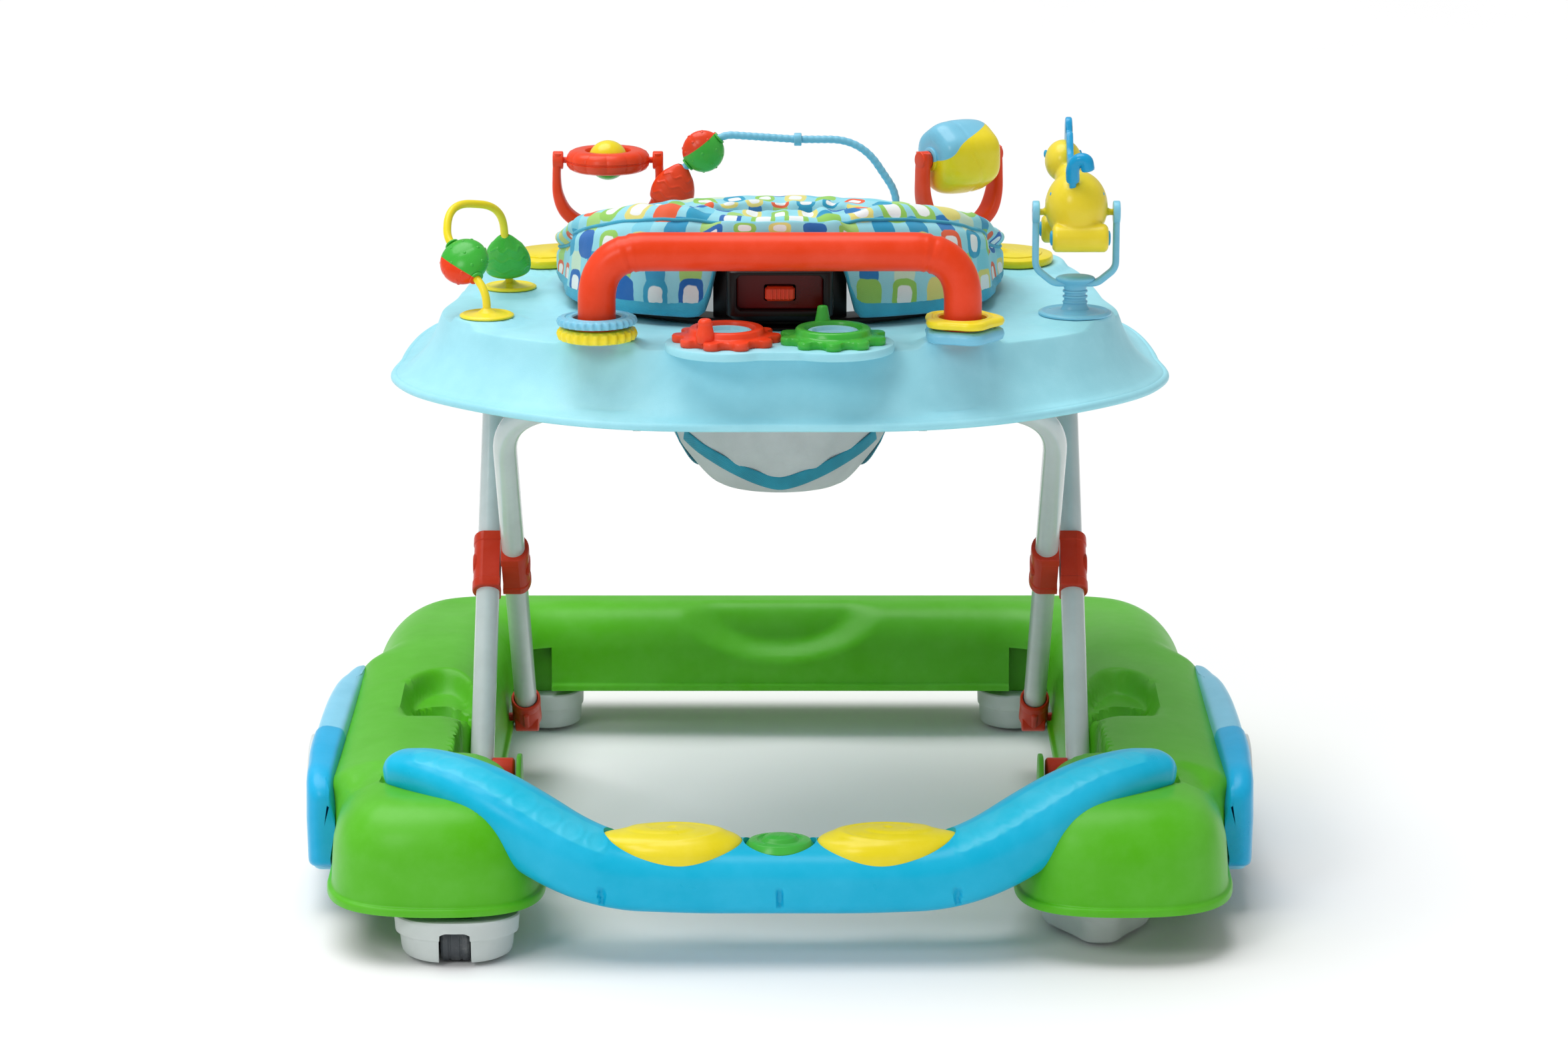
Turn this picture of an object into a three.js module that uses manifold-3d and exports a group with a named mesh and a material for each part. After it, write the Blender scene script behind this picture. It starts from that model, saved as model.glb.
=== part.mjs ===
// A baby walker: a moulded U-shaped base on four swivel casters, two crossed U-shaped leg tubes,
// and a play tray with a fabric seat, a push handle and turning toys.
// Millimetres. +Z is up, -Y is the handle end, and the origin is on the floor under the centre.
import * as THREE from "three";
import { mergeVertices } from "three/addons/utils/BufferGeometryUtils.js";
import Module from "manifold-3d";

const wasm = await Module();
wasm.setup();

// ---------- driving dimensions ----------
const BASE_HALF_WIDTH = 331; // rails, without the side panels
const BASE_HALF_LENGTH = 354;
const RAIL_INNER = 216; // the opening's half width
const FAR_RAIL_INNER = 252; // Y of the far rail's inner edge
const LIP_Z = 40; // height of the base's lower lip
const BASE_TOP = 113;
const WALL = 3.5;

const TUBE_R = 9; // 18 mm leg tube
const TUBE_BORE = 7.8;
const LEG_OUT_X = 225; // the tubes that start at the near feet
const LEG_IN_X = 205; // the tubes that start at the far feet
const FOOT_SPAN = 153; // from the crossing to each foot pivot, along Y
const FOOT_Z = 46;
const CROSS_Y = -8; // where the tubes cross
const CROSS_Z = 211;
const LEG_TOP_Z = 367; // the tubes' cross bars under the tray

const TRAY_RIM_Z = 380;
const TRAY_TOP_Z = 434;
const TRAY_SKIN = 3;
const SEAT_Y = -36; // centre of the seat opening
const SEAT_R = 143; // radius of the hole in the tray
const CASTER_X = 232;
const CASTER_NEAR_Y = -288;
const CASTER_FAR_Y = 288;
const FOOT_PIN_R = 3.4; // the far feet's pins
const WHEEL_R = 17;
const WHEEL_SIDES = 18;
const WHEEL_Z = WHEEL_R * Math.cos(Math.PI / WHEEL_SIDES); // the roller stands on a flat facet
const WHEEL_WIDTH = 21;
const POD_TOP = 33.6; // leaves room for the far feet to slide over the pods
const TRAIL = 44; // from a caster's swivel axis back to its roller's axle

const TILT = Math.atan2(CROSS_Z - FOOT_Z, FOOT_SPAN); // a leg's angle above the floor
const FOLD = THREE.MathUtils.degToRad(24); // how far the legs turn down when the frame folds
const LEG_LENGTH = (LEG_TOP_Z - FOOT_Z) / Math.sin(TILT);
const TOP_SPAN = LEG_LENGTH * Math.cos(TILT) - FOOT_SPAN; // from the crossing to each cross bar
const NEAR_FOOT_Y = CROSS_Y - FOOT_SPAN;
const FAR_FOOT_Y = CROSS_Y + FOOT_SPAN;
const HALF_LEG = Math.hypot(FOOT_SPAN, CROSS_Z - FOOT_Z);
const SPREAD = Math.cos(TILT - FOLD) - Math.cos(TILT); // how much longer a leg gets along Y as it folds
const FOOT_TRAVEL = 2 * HALF_LEG * SPREAD; // how far the far feet slide
const BAR_TRAVEL = 2 * (LEG_LENGTH - HALF_LEG) * SPREAD; // and the far cross bar

// ---------- materials ----------
const plastic = (color, roughness = 0.45) =>
  new THREE.MeshStandardMaterial({ color, roughness, metalness: 0 });
const MATERIALS = {
  green: plastic(0x5cb82c),
  leaf: plastic(0x49b43a, 0.35),
  blue: plastic(0x12aee0, 0.35),
  sky: plastic(0x8ed0e2),
  pale: plastic(0x9cc9dc),
  white: plastic(0xdfe6e4, 0.4),
  red: plastic(0xe2401c, 0.35),
  yellow: plastic(0xf2de3a, 0.35),
  rubber: plastic(0x4a4f52, 0.8),
  black: plastic(0x16100f, 0.3),
  tube: new THREE.MeshStandardMaterial({ color: 0xdfe7e6, roughness: 0.3, metalness: 0.1 }),
  print: plastic(0x8fd3dd, 0.95),
  sling: plastic(0xd9dad5, 0.95),
};

// ---------- geometry helpers ----------
const TAU = 2 * Math.PI;
const v3 = (x, y, z) => new THREE.Vector3(x, y, z);
const range = (n) => Array.from({ length: n }, (_, i) => i);
const mix = (a, b, t) => a + (b - a) * t;
const smooth = (a, b, x) => THREE.MathUtils.smoothstep(x, a, b);

// A surface through rings of equal point counts. `closed` joins the last ring to the first, as round a
// hollow tube; otherwise flat caps close both ends.
function loft(rings, closed = false) {
  const n = rings[0].length;
  const position = rings.flat().flatMap((p) => [p.x, p.y, p.z]);
  const index = [];
  const last = closed ? rings.length : rings.length - 1;
  for (let r = 0; r < last; r++) {
    const a = r * n;
    const b = ((r + 1) % rings.length) * n;
    for (let i = 0; i < n; i++) {
      const j = (i + 1) % n;
      index.push(a + i, a + j, b + j, a + i, b + j, b + i);
    }
  }
  if (!closed) {
    index.push(...cap(rings[0]).flatMap(([a, b, c]) => [a, c, b]));
    index.push(...cap(rings.at(-1)).flat().map((i) => i + n * (rings.length - 1)));
  }
  const geometry = new THREE.BufferGeometry();
  geometry.setAttribute("position", new THREE.Float32BufferAttribute(position, 3));
  geometry.setIndex(index);
  return outward(geometry);
}

// Triangles of one planar ring, in the ring's own plane.
function cap(ring) {
  const centre = ring.reduce((s, p) => s.add(p), v3(0, 0, 0)).divideScalar(ring.length);
  const normal = v3(0, 0, 0);
  ring.forEach((p, i) => {
    const q = ring[(i + 1) % ring.length];
    normal.add(p.clone().sub(centre).cross(q.clone().sub(centre)));
  });
  normal.normalize();
  const turn = new THREE.Quaternion().setFromUnitVectors(normal, v3(0, 0, 1));
  const flat = ring.map((p) => p.clone().sub(centre).applyQuaternion(turn));
  return THREE.ShapeUtils.triangulateShape(flat.map((p) => new THREE.Vector2(p.x, p.y)), []);
}

// Turns every face round if the volume inside the surface is negative.
function outward(geometry) {
  const p = geometry.getAttribute("position");
  const index = [...geometry.index.array];
  let volume = 0;
  const at = (i) => v3(p.getX(i), p.getY(i), p.getZ(i));
  for (let i = 0; i < index.length; i += 3) {
    volume += at(index[i]).dot(at(index[i + 1]).cross(at(index[i + 2])));
  }
  if (volume < 0) geometry.setIndex(index.map((_, i) => index[i - (i % 3) + (2 - (i % 3))]));
  return geometry;
}

function solid(geometry) {
  const bare = geometry.clone();
  for (const name of Object.keys(bare.attributes)) if (name !== "position") bare.deleteAttribute(name);
  const merged = mergeVertices(bare, 1e-3);
  return new wasm.Manifold(
    new wasm.Mesh({
      numProp: 3,
      vertProperties: new Float32Array(merged.attributes.position.array),
      triVerts: new Uint32Array(merged.index.array),
    }),
  );
}

function geometryOf(manifold) {
  const m = manifold.getMesh();
  const position = new Float32Array(m.numVert * 3);
  for (let i = 0; i < m.numVert; i++) {
    position.set(m.vertProperties.subarray(i * m.numProp, i * m.numProp + 3), 3 * i);
  }
  const geometry = new THREE.BufferGeometry();
  geometry.setAttribute("position", new THREE.BufferAttribute(position, 3));
  geometry.setIndex(new THREE.BufferAttribute(m.triVerts, 1));
  geometry.computeVertexNormals();
  return geometry;
}

const join = (first, ...others) => geometryOf(others.reduce((s, g) => s.add(solid(g)), solid(first)));
const cut = (first, ...others) => geometryOf(others.reduce((s, g) => s.subtract(solid(g)), solid(first)));

const box = (w, d, h, x = 0, y = 0, z = 0) => new THREE.BoxGeometry(w, d, h).translate(x, y, z);
const ball = (r, x, y, z, w = 16, h = 10) => new THREE.SphereGeometry(r, w, h).translate(x, y, z);
const rod = (axis, r, length, x, y, z, sides = 16) => {
  const g = new THREE.CylinderGeometry(r, r, length, sides);
  if (axis === "x") g.rotateZ(Math.PI / 2);
  if (axis === "z") g.rotateX(Math.PI / 2);
  return g.translate(x, y, z);
};
const egg = (rx, ry, rz, x, y, z, w = 16, h = 10) =>
  ball(1, 0, 0, 0, w, h).scale(rx, ry, rz).translate(x, y, z);
const ellipse = (n, rx, ry, x, y, z) =>
  range(n).map((i) => v3(x + rx * Math.cos((TAU * i) / n), y + ry * Math.sin((TAU * i) / n), z));

// A lathe about +Z through [radius, height] pairs; a profile that doesn't start on the axis closes on itself.
function lathe(pairs, sides = 32) {
  const profile = pairs[0][0] > 0 ? [...pairs, pairs[0]] : pairs;
  const g = new THREE.LatheGeometry(profile.map(([r, z]) => new THREE.Vector2(r, z)), sides);
  g.rotateX(Math.PI / 2);
  g.deleteAttribute("normal");
  g.deleteAttribute("uv");
  return outward(mergeVertices(g, 1e-3));
}

// An upright plate or block: a plan outline, extruded from z0 to z1.
function slab(points, z0, z1) {
  const shape = new THREE.Shape(points.map(([x, y]) => new THREE.Vector2(x, y)));
  return new THREE.ExtrudeGeometry(shape, { depth: z1 - z0, bevelEnabled: false }).translate(0, 0, z0);
}

// Points along straight runs with each inner corner rounded to a radius.
function rounded(corners, radius, steps = 4) {
  const out = [corners[0]];
  for (let i = 1; i < corners.length - 1; i++) {
    const before = corners[i - 1].clone().sub(corners[i]);
    const after = corners[i + 1].clone().sub(corners[i]);
    const reach = Math.min(radius / Math.tan(before.angleTo(after) / 2), before.length(), after.length());
    const from = corners[i].clone().addScaledVector(before.normalize(), reach);
    const to = corners[i].clone().addScaledVector(after.normalize(), reach);
    out.push(...new THREE.QuadraticBezierCurve3(from, corners[i], to).getPoints(steps));
  }
  out.push(corners.at(-1));
  return out;
}

// Rings of a tube along points, without twist.
function tubeRings(points, r, sides) {
  const tangents = points.map((p, i) => {
    const a = points[Math.max(0, i - 1)];
    const b = points[Math.min(points.length - 1, i + 1)];
    return b.clone().sub(a).normalize();
  });
  let side = v3(0, 0, 1).cross(tangents[0]);
  if (side.length() < 0.1) side = v3(0, 1, 0).cross(tangents[0]);
  return points.map((p, i) => {
    side.addScaledVector(tangents[i], -side.dot(tangents[i])).normalize();
    const up = tangents[i].clone().cross(side);
    return range(sides).map((k) => {
      const a = (TAU * k) / sides;
      return p.clone().addScaledVector(side, r * Math.cos(a)).addScaledVector(up, r * Math.sin(a));
    });
  });
}
const wire = (points, r, sides = 6) => loft(tubeRings(points, r, sides));
const pipe = (points, r, bore, sides = 12) =>
  loft([...tubeRings(points, r, sides), ...tubeRings(points, bore, sides).reverse()], true);

const walker = new THREE.Group();
function add(name, geometry, material, mirror = false) {
  const mesh = new THREE.Mesh(geometry, MATERIALS[material]);
  mesh.name = name;
  if (mirror) mesh.scale.x = -1;
  walker.add(mesh);
  return mesh;
}
// The same piece on the +X side and mirrored on the -X side.
function pair(stem, geometry, material) {
  add(`${stem}_right`, geometry, material);
  add(`${stem}_left`, geometry, material, true);
}

// ---------- footrest bar across the near end ----------
// Stations along +X: centre and half sizes of an oval section square to the bar.
const BAR = [
  [0, -326, 60, 28, 21],
  [60, -326, 60, 28, 21],
  [115, -325, 63, 28, 21],
  [150, -321, 73, 28, 21],
  [185, -308, 92, 27, 20],
  [215, -291, 108, 26, 18],
  [245, -272, 117, 24, 16],
  [272, -256, 118, 20, 14],
  [286, -248, 116, 13, 10],
];
function barSolid(grow) {
  const half = BAR.map(([x, y, z, d, h]) => ({ c: v3(x, y, z), d: d + grow, h: h + grow }));
  half.at(-1).c.x += grow;
  const other = half.slice(1).reverse().map((s) => ({ ...s, c: s.c.clone().multiply(v3(-1, 1, 1)) }));
  const all = [...other, ...half];
  const rings = all.map((s, i) => {
    const along = all[Math.min(all.length - 1, i + 1)].c.clone().sub(all[Math.max(0, i - 1)].c);
    const deep = v3(0, 0, 1).cross(along.setY(0)).normalize().negate();
    const up = along.clone().normalize().cross(deep).negate();
    return range(10).map((k) => {
      const a = (TAU * (k + 0.5)) / 10;
      const c = Math.sign(Math.cos(a)) * Math.abs(Math.cos(a)) ** 0.75;
      const u = Math.sign(Math.sin(a)) * Math.abs(Math.sin(a)) ** 0.75;
      return s.c.clone().addScaledVector(deep, s.d * c).addScaledVector(up, s.h * u);
    });
  });
  return loft(rings);
}

const PAD_X = 78;
const PAD_Y = -322;
const PAD_Z = 72; // underside of the press pads
function padSolid(x, rx, ry, z0, z1) {
  const steps = [
    [z0, 1],
    [z0 + 6, 1],
    [mix(z0 + 6, z1, 0.6), 0.88],
    [z1, 0.45],
  ];
  return loft(steps.map(([z, s]) => ellipse(16, rx * s, ry * s, x, PAD_Y, z)));
}
const PAD_SIZE = [50, 27]; // half sizes
const BUTTON_SIZE = [24.5, 20];
const padHole = (x, rx, ry) =>
  loft([PAD_Z - 6, 110].map((z) => ellipse(16, rx + 1, ry + 1, x, PAD_Y, z)));
const padHoles = [padHole(-PAD_X, ...PAD_SIZE), padHole(PAD_X, ...PAD_SIZE), padHole(0, ...BUTTON_SIZE)];
add("footrest_bar", cut(barSolid(0), ...padHoles), "blue");
pair("music_pad", padSolid(PAD_X, ...PAD_SIZE, PAD_Z, 91), "yellow");
add("music_button", padSolid(0, ...BUTTON_SIZE, PAD_Z, 84), "leaf");

// ---------- base ----------
// Half of the plan outline at the lip, from the near inner end round to the far rail's inner edge.
function baseOutline(inset) {
  const half = new THREE.Path();
  half.moveTo(170, -290);
  half.bezierCurveTo(172, -345, 205, -BASE_HALF_LENGTH, 245, -BASE_HALF_LENGTH);
  half.bezierCurveTo(300, -BASE_HALF_LENGTH, 326, -335, 329, -280);
  half.lineTo(BASE_HALF_WIDTH, -120);
  half.lineTo(BASE_HALF_WIDTH + 3, 200);
  half.bezierCurveTo(BASE_HALF_WIDTH + 4, 322, 312, BASE_HALF_LENGTH, 215, BASE_HALF_LENGTH);
  half.lineTo(0, BASE_HALF_LENGTH);
  const outer = half.getSpacedPoints(19);
  const inner = new THREE.Path();
  inner.moveTo(0, FAR_RAIL_INNER);
  inner.lineTo(178, FAR_RAIL_INNER);
  inner.bezierCurveTo(205, FAR_RAIL_INNER, RAIL_INNER, 238, RAIL_INNER, 215);
  inner.lineTo(RAIL_INNER, -60);
  inner.bezierCurveTo(RAIL_INNER, -150, 168, -200, 170, -290);
  const back = inner.getSpacedPoints(11);
  const right = [...outer, ...back.slice(1, -1)];
  const rim = right.slice(0, outer.length - 1);
  const hole = right.slice(outer.length);
  const mirror = (list) => [...list].reverse().map((p) => new THREE.Vector2(-p.x, p.y));
  // One loop: near right end, outside, far rail, outside left, near left end, then back along the inside.
  const loop = [...rim, outer.at(-1), ...mirror(rim), ...mirror(hole), back[0], ...hole];
  return insetLoop(loop, inset);
}
function insetLoop(loop, inset) {
  const n = loop.length;
  const area = loop.reduce((s, p, i) => s + p.cross(loop[(i + 1) % n]), 0);
  return loop.map((p, i) => {
    const t = loop[(i + 1) % n].clone().sub(loop[(i + n - 1) % n]).normalize();
    const side = area > 0 ? 1 : -1;
    return new THREE.Vector2(p.x - t.y * inset * side, p.y + t.x * inset * side);
  });
}
const FAR_RAIL_SQUAT = 0.12; // how much lower the far rail stands above the lip
const railHeight = (y, z) => LIP_Z + (z - LIP_Z) * (1 - FAR_RAIL_SQUAT * smooth(120, 320, y));
const baseRing = (inset, z) =>
  baseOutline(inset).map((p) => v3(p.x, p.y, z > LIP_Z ? railHeight(p.y, z) : z));
const BASE_PROFILE = [
  [4, 74],
  [11, 93],
  [21, 105],
  [36, BASE_TOP],
];
const baseBody = loft([
  baseRing(0, LIP_Z - 2),
  baseRing(0, LIP_Z + 3),
  baseRing(3, LIP_Z + 4),
  ...BASE_PROFILE.map(([d, z]) => baseRing(d + 0.5, z)),
]);
const baseVoid = loft([
  baseRing(3 + WALL, LIP_Z - 4),
  ...BASE_PROFILE.map(([d, z]) => baseRing(d + WALL, z - WALL)),
]);

// Stands a slab up: its plan's x and y become Y and Z, and its height becomes X.
const UPRIGHT = new THREE.Matrix4().set(0, 0, 1, 0, 1, 0, 0, 0, 0, 1, 0, 0, 0, 0, 0, 1);
// The well on the inside of a rail that the outer leg folds down into, in the Y-Z plane.
function legWell(grow) {
  const under = TUBE_R / Math.cos(TILT - FOLD) + 4; // from the folded tube's axis down to the well's floor
  const floorAt = (y) => FOOT_Z + (y - NEAR_FOOT_Y) * Math.tan(TILT - FOLD) - under - grow;
  const outline = [
    [NEAR_FOOT_Y - 24 - grow, 20],
    [NEAR_FOOT_Y - 24 - grow, 140],
    [8 + grow, 140],
    [8 + grow, floorAt(8)],
    [NEAR_FOOT_Y + 26, floorAt(NEAR_FOOT_Y + 26)],
    [NEAR_FOOT_Y + 26, 20],
  ];
  return slab(outline, 150, 240 + grow).applyMatrix4(UPRIGHT);
}
const MIRROR_X = new THREE.Matrix4().makeScale(-1, 1, 1);
const flipX = (g) => outward(new THREE.BufferGeometry().copy(g).applyMatrix4(MIRROR_X));
const indexed = (g) => mergeVertices(g.deleteAttribute("normal").deleteAttribute("uv"), 1e-3);
const handHold = (grow) => egg(30 + grow, 44 + grow, 30 + grow, 278, -62, 122, 12, 8);
const bossPlaces = [CASTER_NEAR_Y, CASTER_FAR_Y].flatMap((y) => [-1, 1].map((s) => [s * CASTER_X, y]));

function baseShell() {
  let body = solid(baseBody);
  let hollow = solid(baseVoid);
  for (const side of [1, -1]) {
    const place = (g) => solid(side > 0 ? g : flipX(g));
    body = body.subtract(place(indexed(legWell(0)))).subtract(place(indexed(handHold(0))));
    hollow = hollow.subtract(place(indexed(legWell(WALL)))).subtract(place(indexed(handHold(WALL))));
  }
  body = body.subtract(solid(barSolid(0.8)));
  hollow = hollow.subtract(solid(barSolid(0.8 + WALL)));
  for (const [x, y] of bossPlaces) hollow = hollow.subtract(solid(rod("z", 14, 90, x, y, 88, 10)));
  body = body.subtract(hollow);
  for (const [x, y] of bossPlaces) body = body.subtract(solid(rod("z", 8.4, 60, x, y, 50, 10)));
  for (const side of [1, -1]) {
    // The near feet turn on a pin held between an ear and the well's outer wall. The far feet slide in a
    // track, and run into a notch in the far rail when the frame is folded.
    const ear = box(6, 38, 36, side * 209, NEAR_FOOT_Y - 6, 51);
    const arm = box(36, 6, 30, side * 224, NEAR_FOOT_Y - 22, 54);
    const pin = rod("x", 4, 36, side * 225, NEAR_FOOT_Y, FOOT_Z, 8);
    for (const g of [ear, arm, pin]) body = body.add(solid(g));
    const trackLength = FOOT_TRAVEL + 2 * FOOT_PIN_R + 2;
    const trackY = FAR_FOOT_Y + FOOT_TRAVEL / 2;
    const track = box(30, trackLength, 2 * FOOT_PIN_R + 1.6, side * 222, trackY, FOOT_Z);
    const notch = box(32, 90, 60, side * 204, FAR_FOOT_Y + FOOT_TRAVEL + 14 - 45, 47);
    for (const g of [track, notch]) body = body.subtract(solid(g));
  }
  return geometryOf(body);
}
add("base_shell", baseShell(), "green");

// Curved panels on the base's sides, lofted along Y, each with a round hub cover.
const PANEL_X = BASE_HALF_WIDTH + 3.8;
const PANEL = [
  [-222, 343, 31, 100],
  [-214, 346, 29, 106],
  [-150, 349.5, 29, 111],
  [-60, 348.5, 29, 113],
  [30, 344, 30, 111],
  [90, 339.5, 34, 106],
  [116, 337, 40, 98],
];
function sidePanel() {
  const rings = PANEL.map(([y, x, z0, z1]) => {
    const bevel = Math.min(4, (x - PANEL_X) / 2);
    return [
      [PANEL_X, z0],
      [x - bevel, z0],
      [x, z0 + bevel * 2],
      [x, z1 - bevel * 3],
      [x - bevel, z1 - bevel * 0.6],
      [PANEL_X, z1],
    ].map(([px, pz]) => v3(px, y, pz));
  });
  return loft(rings);
}
pair("side_panel", sidePanel(), "blue");
const hub = lathe([[0, 0], [38, 0], [37, 1.6], [26, 2.7], [0, 3.1]], 16);
pair("side_hub", hub.rotateY(Math.PI / 2).translate(349.9, -118, 68), "white");

// ---------- casters ----------
// A pod that swivels on a stem at its narrow end, with a roller in a slot at its wide end.
function casterPod() {
  const plan = (s, z) => {
    const wide = 48 * s;
    const narrow = 24 * s;
    return range(18).map((i) => {
      const a = (TAU * i) / 18;
      const front = (1 - Math.cos(a)) / 2; // 1 towards -Y, the roller's end
      const halfWidth = mix(narrow, wide, smooth(0.1, 0.75, front));
      const x = halfWidth * Math.sign(Math.sin(a)) * Math.abs(Math.sin(a)) ** 0.7;
      const y = mix(22 * s, -66 + 18 * (1 - s), front);
      return v3(x, y, z);
    });
  };
  const pod = loft([plan(0.7, 3), plan(0.9, 10), plan(0.96, 24), plan(1.02, POD_TOP)]);
  const stem = rod("z", 7.7, 38, 0, 0, 51, 10);
  const slot = box(WHEEL_WIDTH + 2.4, 42, 60, 0, -46, -4);
  const room = rod("x", WHEEL_R + 1.8, WHEEL_WIDTH + 2.4, 0, -TRAIL, WHEEL_Z, 14);
  const bore = rod("x", 3.3, 60, 0, -TRAIL, WHEEL_Z, 8);
  const lip = box(WHEEL_WIDTH + 2.4, 30, 6, 0, -62, 24);
  return cut(join(pod, stem), slot, room, bore, lip);
}
const caster = casterPod();
const TREAD = [[0, -10.5], [15.6, -10.5], [WHEEL_R, -9], [WHEEL_R, 9], [15.6, 10.5], [0, 10.5]];
const roller = join(lathe(TREAD, WHEEL_SIDES).rotateY(Math.PI / 2), rod("x", 3, 52, 0, 0, 0, 6));
const CASTERS = [
  ["near_left", -CASTER_X, CASTER_NEAR_Y, 0],
  ["near_right", CASTER_X, CASTER_NEAR_Y, 180],
  ["far_left", -CASTER_X, CASTER_FAR_Y, 104],
  ["far_right", CASTER_X, CASTER_FAR_Y, -102],
];
for (const [name, x, y, turn] of CASTERS) {
  const holder = new THREE.Group();
  holder.position.set(x, y, 0);
  holder.rotation.z = THREE.MathUtils.degToRad(turn);
  walker.add(holder);
  const pod = new THREE.Mesh(caster, MATERIALS.white);
  pod.name = `caster_pod_${name}`;
  const wheel = new THREE.Mesh(roller, MATERIALS.rubber);
  wheel.name = `caster_roller_${name}`;
  wheel.position.set(0, -TRAIL, WHEEL_Z);
  holder.add(pod, wheel);
}

// ---------- legs ----------
// A U-shaped tube: up one side from its feet, across under the tray, and down the other side.
// `end` is -1 for the tube whose feet are at the near end, whose top is then at the far end.
function legTube(end, x, start) {
  const foot = v3(x, CROSS_Y + end * FOOT_SPAN, FOOT_Z);
  const top = v3(x, CROSS_Y - end * TOP_SPAN, LEG_TOP_Z);
  const along = top.clone().sub(foot).normalize();
  const begin = foot.clone().addScaledVector(along, start);
  const mirror = (p) => v3(-p.x, p.y, p.z);
  return pipe(rounded([begin, top, mirror(top), mirror(begin)], 46, 3), TUBE_R, TUBE_BORE);
}
add("leg_tube_outer", legTube(-1, LEG_OUT_X, 18), "tube");
add("leg_tube_inner", legTube(1, LEG_IN_X, 15), "tube");

// Turns a piece made along +Z, centred on a leg, to lie along that leg at a distance from its foot.
function onLeg(geometry, end, x, distance) {
  const lean = end < 0 ? -(Math.PI / 2 - TILT) : Math.PI / 2 - TILT;
  const y = CROSS_Y + end * (FOOT_SPAN - distance * Math.cos(TILT));
  return geometry.rotateX(lean).translate(x, y, FOOT_Z + distance * Math.sin(TILT));
}
function tubeFoot(length, r, width) {
  const sleeve = rod("z", r, length, 0, 0, length / 2, 12);
  const knuckle = rod("x", r, width, 0, 0, 0, 12);
  return cut(join(sleeve, knuckle), rod("z", TUBE_R + 0.6, 90, 0, 0, 58.5, 12));
}
const nearFoot = cut(tubeFoot(58, 12.5, 22), rod("x", 4.8, 40, 0, 0, 0, 8));
const farFoot = join(tubeFoot(30, 11.8, 19), rod("x", FOOT_PIN_R, 12, 15, 0, 0, 8));
pair("near_foot", onLeg(nearFoot, -1, LEG_OUT_X, 0), "red");
pair("far_foot", onLeg(farFoot, 1, LEG_IN_X, 0), "red");

function collar(outside) {
  const w = 9.6; // half width, so that the two collars turn past each other
  const outline = new THREE.Shape();
  outline.moveTo(-w, -12.5);
  outline.lineTo(w - 5, -12.5);
  outline.quadraticCurveTo(w + 2.6, -12.5, w + 2.6, 0);
  outline.quadraticCurveTo(w + 2.6, 12.5, w - 5, 12.5);
  outline.lineTo(-w, 12.5);
  const block = new THREE.ExtrudeGeometry(outline, { depth: 48, bevelEnabled: false, curveSegments: 5 });
  const sleeve = cut(indexed(block.translate(0, 0, -24)), rod("z", TUBE_R + 0.6, 80, 0, 0, 0, 12));
  return outside ? sleeve : flipX(sleeve);
}
pair("outer_collar", onLeg(collar(true), -1, LEG_OUT_X, HALF_LEG), "red");
pair("inner_collar", onLeg(collar(false), 1, LEG_IN_X, HALF_LEG), "red");

// ---------- tray ----------
// Plan outlines are read as a distance from the tray's centre at each angle.
const TRAY_Y = -20;
function trayRim(a) {
  const x = Math.cos(a);
  const y = Math.sin(a);
  const near = y < 0 ? -y : 0;
  const far = y > 0 ? y : 0;
  const halfLength = y < 0 ? 270 : 292;
  const shoulder = 9 * smooth(0.1, 0.35, near) * (1 - smooth(0.45, 0.8, near));
  const side = mix(284, 262, smooth(-0.1, 0.8, y)) + shoulder;
  const p = y < 0 ? 2.5 : 2.3;
  const r = 1 / (Math.abs(x / side) ** p + Math.abs(y / halfLength) ** p) ** (1 / p);
  const waves = 5 * Math.cos(8 * a + Math.PI) * (0.4 + 0.6 * far);
  return r + waves;
}
// The raised plateau: wide at the toy mounds, with dips between them.
const MOUNDS = [
  [-145, 40, 16],
  [-35, 40, 16],
  [-117, 15, 6],
  [-63, 15, 6],
  [-90, 26, 10],
  [35, 30, 8],
  [145, 30, 8],
];
function trayPlateau(a) {
  const degrees = THREE.MathUtils.radToDeg(Math.atan2(Math.sin(a), Math.cos(a)));
  const bumps = MOUNDS.map(
    ([at, width, height]) => height * Math.exp(-(((degrees - at) / (width / 2)) ** 2)),
  );
  return trayRim(a) * 0.865 - 6 + Math.max(...bumps);
}
const TRAY_PROFILE = [
  // share of the way from the rim (0) to the plateau's edge (1), then height above the rim
  [0, 0],
  [-0.03, 4],
  [0.5, 14],
  [0.74, 26],
  [0.88, 42],
  [1.0, 50],
  [1.25, 53.5],
];
function traySurface(drop) {
  const sides = 40;
  const rings = TRAY_PROFILE.map(([share, up], k) =>
    range(sides).map((i) => {
      const a = (TAU * i) / sides;
      const r = mix(trayRim(a), trayPlateau(a), share) - (k < 2 ? drop * 0.9 : drop * 0.45);
      return v3(r * Math.cos(a), TRAY_Y + r * Math.sin(a), TRAY_RIM_Z + up - (k === 0 ? 0 : drop));
    }),
  );
  return [...rings, ellipse(sides, SEAT_R, SEAT_R, 0, SEAT_Y, TRAY_TOP_Z - drop)];
}
const GEAR_X = 38;
const GEAR_Y = -250;
const gearPosts = [-1, 1].map((s) => rod("z", 17, 10, s * GEAR_X, GEAR_Y, TRAY_TOP_Z, 14));
const trayBody = loft([...traySurface(0), ...traySurface(TRAY_SKIN).reverse()], true);
add("tray_shell", join(trayBody, ...gearPosts), "sky");

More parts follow.
